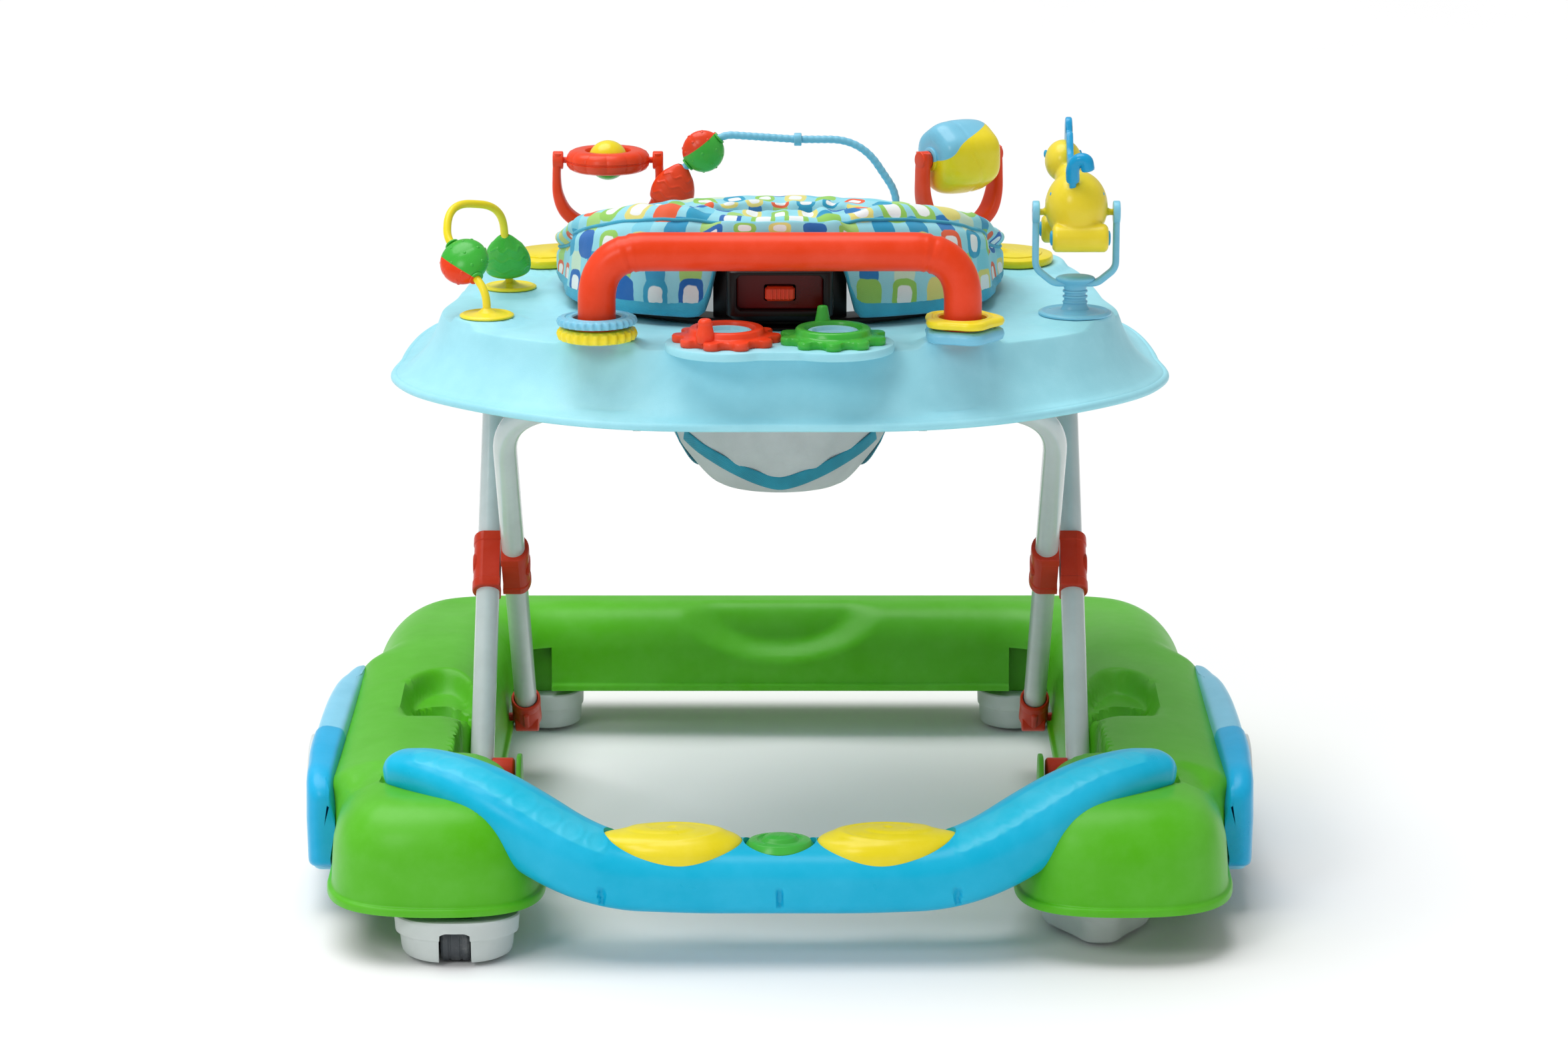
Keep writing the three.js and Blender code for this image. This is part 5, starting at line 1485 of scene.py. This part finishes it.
t = np.linspace(0, TAU, 90)
for side, s in SIDES:
    y, z = LEG_Y + (LEG_R + 3.5) * np.cos(t), LEG_Z + (LEG_R + 3.5) * np.sin(t)
    x = np.sqrt(np.maximum(sling_radius(z) ** 2 - ((y - SEAT_Y) / 0.98) ** 2, 100))
    line = np.stack([s * x, y, z], 1)
    out = np.stack([s * x, (y - SEAT_Y), np.zeros(90)], 1)
    out /= np.linalg.norm(out, axis=1)[:, None]
    piece(f"leg_binding_{side}", ribbon(line, out, 10), teal, "tray", sharp=80)
bands = []
for middle, half_width, low, high in ((-90, 50, 352, 404), (-90, 58, 296, 330)):
    a = np.radians(np.linspace(middle - half_width, middle + half_width, 60))
    z = mix(low, high, abs(np.linspace(-1, 1, 60)) ** 1.5)
    line = on_sling(a, z, 1.6)
    out = np.stack([np.cos(a), np.sin(a), np.full(60, -0.25)], 1)
    bands.append(ribbon(line, out / np.linalg.norm(out, axis=1)[:, None], 11))
piece("sling_bands", bands, teal, "tray", sharp=80)

# The seat lock: a black frame round a dark red window, and its button.
black = moulded("black_plastic", srgb(20, 14, 14), 0.32)
case = block(0, -200, 462, 77, 23.6, 40.6, 4.5)
opening = block(0, -210, 463, 63, 22, 26.4, 3)
a = np.radians(np.linspace(-90 - 19, -90 + 19, 40))
wall_rows = [np.stack([r * np.cos(a), SEAT_Y + r * np.sin(a), np.full(40, float(z))], 1)
             for r, z in ((149, 437), (149, 490), (145, 490), (145, 437))]
floor_rows = [np.stack([r * np.cos(a), SEAT_Y + r * np.sin(a), np.full(40, float(z))], 1)
              for r, z in ((144, 438.6), (171, 436.4), (171, 435.2), (144, 435.2))]
case = [case, skin(np.stack(wall_rows, 1)), skin(np.stack(floor_rows, 1))]
piece("lock_case", case, black, "tray", "lock_housing",
      cuts=[opening, block(0, -198, 462, 23, 7, 12, 1)], bevel=0.7)
window = block(0, -201.5, 463, 62.6, 2.4, 26, 0.8)
glass = moulded("lock_window", srgb(104, 8, 8), 0.3, grain=0.05)
piece("lock_window", window, glass, "tray", cuts=[block(0, -202, 462, 23, 8, 12, 1)])
grips = [block(x, -209.6, 462, 1.2, 1.6, 8.2, 0.5) for x in (-6, -3, 0, 3, 6)]
piece("lock_key", [block(0, -205, 462, 21.6, 8.8, 10.6, 1.8), *grips], red, "lock_button",
      "lock_button")

# ---------------------------------------------------------------- handle and its rings
HANDLE_X, HANDLE_Y, HANDLE_Z = 131, -236, 498
path = filleted([(-HANDLE_X, HANDLE_Y, 434), (-HANDLE_X, HANDLE_Y, HANDLE_Z),
                 (HANDLE_X, HANDLE_Y, HANDLE_Z),
                 (HANDLE_X, HANDLE_Y, 434)], 36, 18)
path = resampled(path, 2.0)
length = np.r_[0, np.cumsum(np.linalg.norm(np.diff(path, axis=0), axis=1))]
grip = np.full(len(path), 13.6)
for x in (-108, 108):
    d = abs(path[:, 0] - x) + 100 * (path[:, 2] < HANDLE_Z - 9)
    grip += 0.5 * np.exp(-(((d - 3.2) / 1.5) ** 2)) - 1.0 * np.exp(-((d / 1.1) ** 2))
grip += 0.35 * smooth(104, 98, abs(path[:, 0]))
grip += 1.6 * smooth(446, 434, path[:, 2])
piece("handle", sweep(path, grip, 48, up=(0, 1, 0)), red, "tray", "push_handle", sharp=60)


def play_ring(x, z, lobes, teeth, wave, lean=0.0, outer=28.2, thick=1.0):
    """A flat ring with a wavy or toothed edge and a groove round its top."""
    a = TAU * np.arange(200) / 200
    edge = wave * np.cos(lobes * a) if lobes else 0 * a
    bite = 0.9 * np.sign(np.cos(teeth * a)) * abs(np.cos(teeth * a)) ** 0.6 if teeth else 0 * a
    section = [(17.3, 1.2, 0), (17.3, 5.2, 0), (18.2, 6.3, 0), (20.4, 6.5, 0.2), (21.4, 5.7, 0.3),
               (22.4, 5.7, 0.4), (23.2, 6.5, 0.5),
               (25.2, 6.4, 0.8), (outer - 0.9, 5.4, 1), (outer, 3.6, 1), (outer, 2.8, 1),
               (outer - 0.9, 0.8, 1), (25, 0, 0.8),
               (18.4, 0, 0)]
    rows = []
    for r, up, share in section:
        reach = r + edge * share + bite * (share >= 1)
        tip = lean * np.cos(a + 0.5) * r
        rows.append(np.stack([x + reach * np.cos(a), HANDLE_Y + reach * np.sin(a), z + thick * up + tip],
                             1))
    return skin(rows, close_rows=True)


pale = moulded("pale_plastic", PALE, 0.3, coat=0.15, glow=0.08)
low_z, high_z = TRAY_TOP + 0.4, TRAY_TOP + 11
piece("ring_left_low", play_ring(-HANDLE_X, low_z, 0, 24, 0, thick=1.38), yellow, "ring_left_lower",
      "ring_left_lower")
piece("ring_left_top", play_ring(-HANDLE_X, high_z, 0, 30, 0, 0.012), pale, "ring_left_upper",
      "ring_left_upper")
piece("ring_right_low", play_ring(HANDLE_X, low_z, 5, 0, 2.0, 0, 28.0, 1.38), pale,
      "ring_right_lower",
      "ring_right_lower")
piece("ring_right_top", play_ring(HANDLE_X, high_z, 5, 0, 2.0, 0, 28.0), yellow,
      "ring_right_upper",
      "ring_right_upper")

# ---------------------------------------------------------------- gears
TEETH = 10


def gear(phase):
    a = TAU * np.arange(400) / 400
    c = np.cos(TEETH * (a - phase))
    tooth = np.sign(c) * abs(c) ** 0.62
    rows = []
    section = [(20.3, 0.4, 0), (20.3, 9.6, 0), (21.2, 10.8, 0), (23.2, 11.0, 0), (25.6, 10.9, 0),
               (26.8, 9.8, 0), (27.2, 7.4, 0),
               (28.4, 6.2, 0.1), (31.5, 5.9, 0.5), (34.6, 5.8, 1), (35.5, 4.8, 1), (35.5, 1.2, 1),
               (34.7, 0.2, 1), (30, 0, 0.4),
               (21, 0, 0)]
    for r, up, share in section:
        reach = r + 3.6 * tooth * share
        rows.append(np.stack([reach * np.cos(a), reach * np.sin(a), np.full(400, float(up))], 1))
    return [skin(rows, close_rows=True)]


peg = soft_lathe([(0, 4), (7, 4), (6.6, 10), (5.6, 14), (5.0, 17), (5.2, 19.4), (3.6, 21.4), (0, 21.4)],
                 1.6, 32)
tapered = soft_lathe([(0, 4), (7, 4), (4.6, 15), (3.6, 21), (0, 21.6)], 1.4, 32)
for name, x, phase, stud, angle, paint, slot in (
    ("gear_red", -38, 0.0, peg, -122, red, "red_plastic"),
    ("gear_green", 38, math.pi / TEETH, tapered, 105, leaf, "toy_green"),
):
    knob = moved(stud, turn(angle, "Z") @ at(28, 0, 0))
    parts = [moved(p, at(x, -250, TRAY_TOP + 1.2)) for p in [*gear(phase), knob]]
    piece(f"{name}_wheel", parts, paint, name, name, sharp=45)

# ---------------------------------------------------------------- bead loop, left


def halves(cut_point, direction, wave=0.0, turns=3):
    """The share of a second colour: one side of a wavy parting plane."""

    def split(t):
        d = Vector(direction).normalized()
        where = t.nodes.new("ShaderNodeVectorMath")
        where.operation = "SUBTRACT"
        t.put(where.inputs[0], t.position())
        where.inputs[1].default_value = [c * MM for c in cut_point]
        dot = t.nodes.new("ShaderNodeVectorMath")
        dot.operation = "DOT_PRODUCT"
        t.put(dot.inputs[0], where.outputs[0])
        dot.inputs[1].default_value = d
        height = dot.outputs["Value"]
        if wave:
            across = t.nodes.new("ShaderNodeSeparateXYZ")
            t.put(across.inputs[0], where.outputs[0])
            swing = t.math("SINE", t.math("MULTIPLY", across.outputs[2], turns / (wave * MM * 6)))
            height = t.math("ADD", height, t.math("MULTIPLY", swing, wave * MM))
        return t.step(height, -0.00025, 0.00025)

    return split


def threaded(part, start, end, share):
    start, end = Vector(start), Vector(end)
    spin = Z.rotation_difference((end - start).normalized()).to_matrix().to_4x4()
    return moved(part, Matrix.Translation(start.lerp(end, share)) @ spin)


def bead(r, flat=0.62, dots=9):
    """A flattened ball with a parting seam, a collar at each hole and raised dots."""
    v = np.linspace(-math.pi / 2, math.pi / 2, 46)[2:-2]
    seam = 0.35 * np.exp(-((v / 0.05) ** 2))
    body = lathe(np.stack([(r - seam) * np.cos(v), r * np.sin(v)], 1), 72, (1, flat, 1))
    ends = [moved(soft_lathe([(3.2, 0), (5.6, 0), (5.6, 1.4), (3.2, 1.4), (3.2, 0)], 0.4, 28),
                  at(0, 0, s * r * 0.985 - 0.7)) for s in (-1, 1)]
    spots = []
    for k in range(dots):
        for lat in (-0.7, -0.05, 0.62):
            b = TAU * (k + (lat > 0) * 0.5) / dots
            p = Vector((r * math.cos(lat) * math.cos(b), flat * r * math.cos(lat) * math.sin(b),
                        r * math.sin(lat)))
            aim = Z.rotation_difference(Vector((p.x, p.y / flat**2, p.z)).normalized()).to_matrix().to_4x4()
            spots.append(moved(egg(0, 0, 0, 1.2, 1.2, 0.5, 12, 7), Matrix.Translation(p) @ aim))
    return [body, *ends, *spots]


def cone(w, h):
    """A rounded triangular bead with three wavy raised lines."""
    profile = catmull([(0.20, 0.5), (0.34, 0.45), (0.55, 0.34), (0.74, 0.23), (0.92, 0.05), (1.0, -0.12),
                       (0.985, -0.28), (0.90, -0.40), (0.62, -0.475),
                       (0.22, -0.5)], 11)
    a = TAU * np.arange(160) / 160
    rows = []
    for s, t in profile:
        line = np.zeros(160)
        for k in (-0.22, 0.02, 0.24):
            line += np.exp(-(((t - k - 0.04 * np.sin(8 * a)) / 0.026) ** 2))
        r = w * s + 0.9 * line * smooth(0.3, 0.6, abs(np.sin(a)))
        rows.append(np.stack([r * np.cos(a), 0.58 * r * np.sin(a), np.full(160, h * t)], 1))
    return [skin(rows)]


LOOP = [(-215, -150, 434), (-215, -150, 452), (-246, -112, 486), (-246, -94, 509),
        (-208, -66, 502), (-204, -38, 434)]
wire = sweep(resampled(filleted(LOOP, [0, 20, 24, 26, 30, 0], 12), 2), 3, 20, up=(1, 0, 0))
flange = soft_lathe([(0, 0), (20, 0), (20, 1.4), (17.6, 2.6), (15.5, 1.9), (11, 2.3), (7, 3.2), (4.6, 4.8),
                     (3.2, 6.2), (0, 6.2)], 0.7, 56)
flanges = [moved(flange, at(x, y, TRAY_TOP + 0.3)) for x, y in ((-215, -150), (-204, -38))]
piece("bead_wire", [wire, *flanges], yellow, "tray", "bead_loop", sharp=50)
bead_place = Vector(LOOP[1]).lerp(Vector(LOOP[2]), 0.56)
two_tone = moulded("bead_green_red", LEAF, 0.28, coat=0.2, second=RED,
                   split=halves(bead_place + Vector((-2, 0, -5)), (-0.5, -0.1, -0.85)))
piece("bead_round_toy", [threaded(p, LOOP[1], LOOP[2], 0.56) for p in bead(18.3)], two_tone, "bead_round",
      "bead_round")
piece("bead_cone_toy", [threaded(p, LOOP[5], LOOP[4], 0.4) for p in cone(17.6, 36)], leaf, "bead_cone",
      "bead_cone")

# ---------------------------------------------------------------- spinner, far left
SPIN = Vector((-138, 205, 492))
base_ring = soft_lathe([(0, 0), (17, 0), (17, 2.4), (15.4, 4.0), (13, 3.4), (10, 4.2), (0, 5.4)], 0.7, 56)


def fork(half_width, top, thick, deep, bulk=0.0):
    """An arched fork: a flat sectioned arm on each side of a round foot, with a boss at each tip."""
    side = [(1.0, top), (1.03, top * 0.72), (1.0, top * 0.46), (0.84, top * 0.24),
            (0.52, top * 0.1), (0.2, 5.4)]
    half = [(half_width * share, 0, z) for share, z in side]
    line = resampled(catmull([(-x, y, z) for x, y, z in half] + half[::-1], 8), 1.6)
    stout = 1 + bulk * smooth(top * 0.75, top * 0.2, line[:, 2])
    section = oval(28, 0.62) * (thick, deep)
    arms = sweep(line, stout, section=section, up=(0, 1, 0), round_ends=0.0)
    cap = soft_lathe([(0, -thick - 0.8), (7.2, -thick - 0.8), (7.2, thick + 0.8), (0, thick + 0.8)], 1.2,
                     36)
    tips = [moved(cap, at(sx * half_width, 0, top - 6) @ turn(90, "Y")) for sx in (-1, 1)]
    return [arms, base_ring, *tips]


spin_top = SPIN.z - TRAY_TOP - 0.4 + 6
parts = [moved(p, at(SPIN.x, SPIN.y, TRAY_TOP + 0.3)) for p in fork(40, spin_top, 3.4, 6.2, 0.5)]
piece("spinner_stand", parts, red, "tray", "spinner_fork")


def scalloped_disc():
    a = TAU * np.arange(240) / 240
    lobes = 1.1 * abs(np.sin(6 * a)) ** 0.7
    rows = []
    section = [(18.2, -6.6, 0), (18.8, -8, 0), (21, -8.6, 0), (27.6, -8.2, 0.4), (30.6, -6.4, 0.8),
               (32.4, -3.6, 1), (33.0, -0.9, 1), (32.2, -0.45, 1),
               (32.2, 0.45, 1), (33.0, 0.9, 1), (32.4, 3.6, 1), (30.6, 6.4, 0.8), (27.6, 8.2, 0.4),
               (21, 8.6, 0), (18.8, 8, 0), (18.2, 6.6, 0)]
    for r, up, share in section:
        reach = r + lobes * share - 0.2
        rows.append(np.stack([reach * np.cos(a), reach * np.sin(a), np.full(240, float(up))], 1))
    return skin(rows, close_rows=True)


pin = moved(soft_lathe([(0, -39.4), (2.5, -39.4), (2.5, 39.4), (0, 39.4)], 0.5, 20), turn(90, "Y"))
piece("spinner_wheel", [moved(p, Matrix.Translation(SPIN)) for p in (scalloped_disc(), pin)], red,
      "spinner_disc",
      "spinner_disc")
ball_colour = moulded("ball_yellow_green", YELLOW, 0.26, coat=0.25, second=LEAF,
                      split=halves(SPIN + Vector((0, 0, -1)), (0.12, 0.1, -1)))
v = np.linspace(-math.pi / 2, math.pi / 2, 40)
ball_profile = np.stack([(15.9 - 0.45 * np.exp(-((v / 0.05) ** 2))) * np.cos(v), 15.9 * np.sin(v)], 1)
ball_bosses = [moved(soft_lathe([(3.2, 0), (6.2, 0), (6.2, 1.8), (3.2, 1.8), (3.2, 0)], 0.5, 28),
                     turn(90 * s, "Y") @ at(0, 0, 14.6)) for s in (-1, 1)]
piece("spinner_core", [moved(p, Matrix.Translation(SPIN)) for p in (lathe(ball_profile, 64), *ball_bosses)],
      ball_colour,
      "spinner_ball", "spinner_ball")

# ---------------------------------------------------------------- wire arch, far middle
ARCH_Y = 184
ARCH = [(x, ARCH_Y, z) for x, z in ((-92, 434), (-92, 452), (-80, 486), (-46, 516), (14, 512),
                                    (64, 512), (92, 470), (94, 434))]
line = resampled(filleted(ARCH, [0, 18, 18, 22, 30, 46, 34, 0], 14), 1.0)
rope = 3.0 + 0.16 * np.cos(TAU * np.arange(len(line)) / 5.0) * (np.arange(len(line)) > 8)
small_flange = soft_lathe([(0, 0), (14, 0), (14, 1.4), (12, 2.8), (9, 2.2), (6, 3.4), (4.4, 6.4),
                           (3.1, 8), (0, 8)], 0.6, 48)
collar_ring = moved(soft_lathe([(3, -3), (5.2, -3), (5.2, 3), (3, 3), (3, -3)], 0.8, 28),
                    at(14, ARCH_Y, 512) @ turn(90, "Y"))
parts = [sweep(line, rope, 20, up=(0, 1, 0)), collar_ring,
         *(moved(small_flange, at(x, ARCH_Y, TRAY_TOP + 0.3)) for x in (-92, 94))]
piece("arch_wire", parts, pale, "tray", "wire_arch", sharp=50)
piece("arch_cone_toy", [threaded(p, ARCH[1], ARCH[2], 0.66) for p in cone(17.4, 36)], red, "arch_cone",
      "arch_cone")
arch_place = Vector(ARCH[2]).lerp(Vector(ARCH[3]), 0.55)
arch_tone = moulded("arch_green_red", LEAF, 0.28, coat=0.2, second=RED,
                    split=halves(arch_place + Vector((-4, 0, 5)), (-0.6, -0.1, 0.8)))
piece("arch_bead_toy", [threaded(p, ARCH[2], ARCH[3], 0.55) for p in bead(16.8, 0.62, 8)], arch_tone,
      "arch_bead", "arch_bead")

# ---------------------------------------------------------------- barrel, far right
BARREL = Vector((143, 198, 496))
spin_matrix = Matrix.Translation(BARREL) @ turn(32, "Z")
parts = [moved(p, at(BARREL.x, BARREL.y, TRAY_TOP + 0.3) @ turn(32, "Z"))
         for p in fork(34, BARREL.z - TRAY_TOP - 0.4 + 6, 3.6, 8.0, 0.25)]
piece("barrel_stand", parts, red, "tray", "barrel_fork")
profile = catmull([(8, -27), (16.5, -26.8), (23, -24.4), (26.8, -18.6), (28.4, -10), (28.8, 0), (28.4, 10),
                   (26.8, 18.6), (23, 24.4),
                   (16.5, 26.8), (8, 27)], 6)
a = TAU * np.arange(120) / 120
rows = []
for r, z in profile:
    seam = 0.7 * np.exp(-(((z - 9 * np.cos(a) - 2.0 * np.sin(4 * a)) / 1.1) ** 2))
    reach = r * (1 + 0.028 * np.cos(6 * a)) - seam
    rows.append(np.stack([reach * np.cos(a), reach * np.sin(a), np.full(120, z)], 1))
barrel_pin = moved(soft_lathe([(0, -33.4), (2.5, -33.4), (2.5, 33.4), (0, 33.4)], 0.5, 20), turn(90, "Y"))
hub_end = [moved(soft_lathe([(0, 26), (9.5, 26), (9.5, 28.6), (7, 29.4), (6, 28.2), (0, 28.2)], 0.5, 36),
                 turn(90 * s, "Y")) for s in (-1, 1)]
barrel_tone = moulded("barrel_tone", PALE, 0.28, coat=0.2, second=YELLOW,
                      split=halves(BARREL + Vector((-8, 0, 10)), (0.5, 0.1, -0.86), wave=2.0))
piece("barrel_toy", [moved(p, spin_matrix) for p in (moved(skin(rows), turn(90, "Y")), barrel_pin,
                                                     *hub_end)], barrel_tone, "barrel",
      "barrel", sharp=55)

# ---------------------------------------------------------------- dinosaur on its yoke
DINO = Vector((217, -140, 510))
YOKE_X, YOKE_TOP = 29.5, 510 - 434.4
arm = resampled(filleted([(-YOKE_X, 0, YOKE_TOP + 5), (-YOKE_X, 0, 34), (-16, 0, 23), (16, 0, 23),
                          (YOKE_X, 0, 34), (YOKE_X, 0, YOKE_TOP + 5)], 11, 8), 1.5)
yoke = [
    sweep(arm, 1.0, section=oval(24, 0.6) * (2.5, 4.4), up=(0, 1, 0)),
    lathe(catmull([(0, 1), (11, 1.4), (9.2, 6), (8, 12), (8, 18), (9.6, 22), (14.5, 26), (11, 28.5),
                   (0, 29)], 5), 40, (1, 0.7, 1)),
    *(moved(soft_lathe([(7.4, -0.7), (9.2, -0.7), (9.2, 0.7), (7.4, 0.7), (7.4, -0.7)], 0.3, 40,
                       (1, 0.72, 1)), at(0, 0, z)) for z in (9, 13, 17)),
    soft_lathe([(0, 0), (27, 0), (27, 1.6), (24.6, 2.8), (21.8, 1.9), (18, 2.1), (12, 3.4), (0, 4.4)], 0.7,
               72),
    *(moved(soft_lathe([(2.8, -2.6), (8.4, -2.6), (8.4, 2.6), (2.8, 2.6), (2.8, -2.6)], 1.1, 36),
            at(s * YOKE_X, 0, YOKE_TOP) @ turn(90, "Y")) for s in (-1, 1)),
]
piece("dino_stand", [moved(p, at(DINO.x, DINO.y, TRAY_TOP + 0.3)) for p in yoke], pale, "tray",
      "dino_yoke", sharp=45)
limb = soft_lathe([(0, -20.5), (7.6, -20.5), (10.4, -18.4), (10.4, 18.4), (7.6, 20.5), (0, 20.5)], 2.2, 40)
dino_parts = [
    egg(0, 0, -2, 23, 26.6, 26.6),
    egg(-8, 36, 26, 13.6, 17.6, 15.6),
    egg(-4, 22, 14, 10.8, 16, 14),
    egg(-8, 48, 21, 10.5, 8.5, 9),
    moved(limb, at(2, -19, -22) @ turn(90, "Y")),
    moved(limb, at(-4, 20, -22) @ turn(90, "Y")),
    moved(soft_lathe([(0, -28.6), (2.5, -28.6), (2.5, 28.6), (0, 28.6)], 0.5, 20),
          at(0, 0, -6) @ turn(90, "Y")),
]
DINO_LIFT = Matrix.Translation(DINO + Vector((0, 0, 6)))
dino_yellow = moulded("dino_yellow", srgb(238, 216, 52), 0.3, coat=0.2, glow=0.06)
piece("dino_figure", [moved(p, DINO_LIFT) for p in dino_parts], dino_yellow, "dino",
      "dino_body", fuse=1.0)
dino_blue = moulded("dino_blue", srgb(20, 160, 214), 0.3, coat=0.2)
marks = []
for dx, dy, dz, r in ((23.4, 8, 0, 3.6), (21, -8, 8, 2.2)):
    for s in (-1, 1):
        marks.append(moved(egg(0, 0, 0, 1.2, r, r, 24, 12), at(s * (dx - 2.2), dy, dz)))
for s in (-1, 1):
    for y, lift in ((-19, -22), (20, -22)):
        marks.append(moved(soft_lathe([(0, 0), (5.4, 0), (5.4, 1.2), (3.4, 1.9), (0, 1.2)], 0.4, 28),
                           at(s * 20.2 + (2 if y < 0 else -4), y, lift) @ turn(90 * s, "Y")))
    marks.append(moved(egg(0, 0, 0, 1.6, 2.6, 3.0, 20, 12), at(-8 + s * 12.6, 43, 30)))
crest = catmull([(52, 51), (46, 57), (39, 56), (34, 48), (28, 49), (22, 43), (16, 36), (9, 33), (3, 32),
                 (-6, 28.5), (-15, 25), (-22, 20),
                 (-16, 10), (-6, 4), (8, 6), (30, 8), (46, 24), (52, 36), (52, 51)], 5)[:-1]
crest_plate = moved(moved(plate(resampled(crest, 1.4, closed=True), -2.5, 2.5, 1.4),
                          Matrix(((0, 0, 1, 0), (1, 0, 0, 0), (0, 1, 0, 0), (0, 0, 0, 1)))), at(-4, 0, 0))
hook = sweep(catmull([(-4, -18, 21), (-4, -21, 30), (0, -23, 36), (5, -24, 35.5), (6.5, -24, 30)], 8), 5.0,
             20, up=(1, 0, 0), round_ends=2.0)
piece("dino_crest_toy", [moved(p, DINO_LIFT) for p in [crest_plate, hook, *marks]], dino_blue, "dino",
      "dino_crest")

# ---------------------------------------------------------------- what was made, against the frame
seen_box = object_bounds()
plain = lambda box: [[float(c) for c in corner] for corner in box]
{"cad": plain(cad_box), "visual": plain(seen_box)}
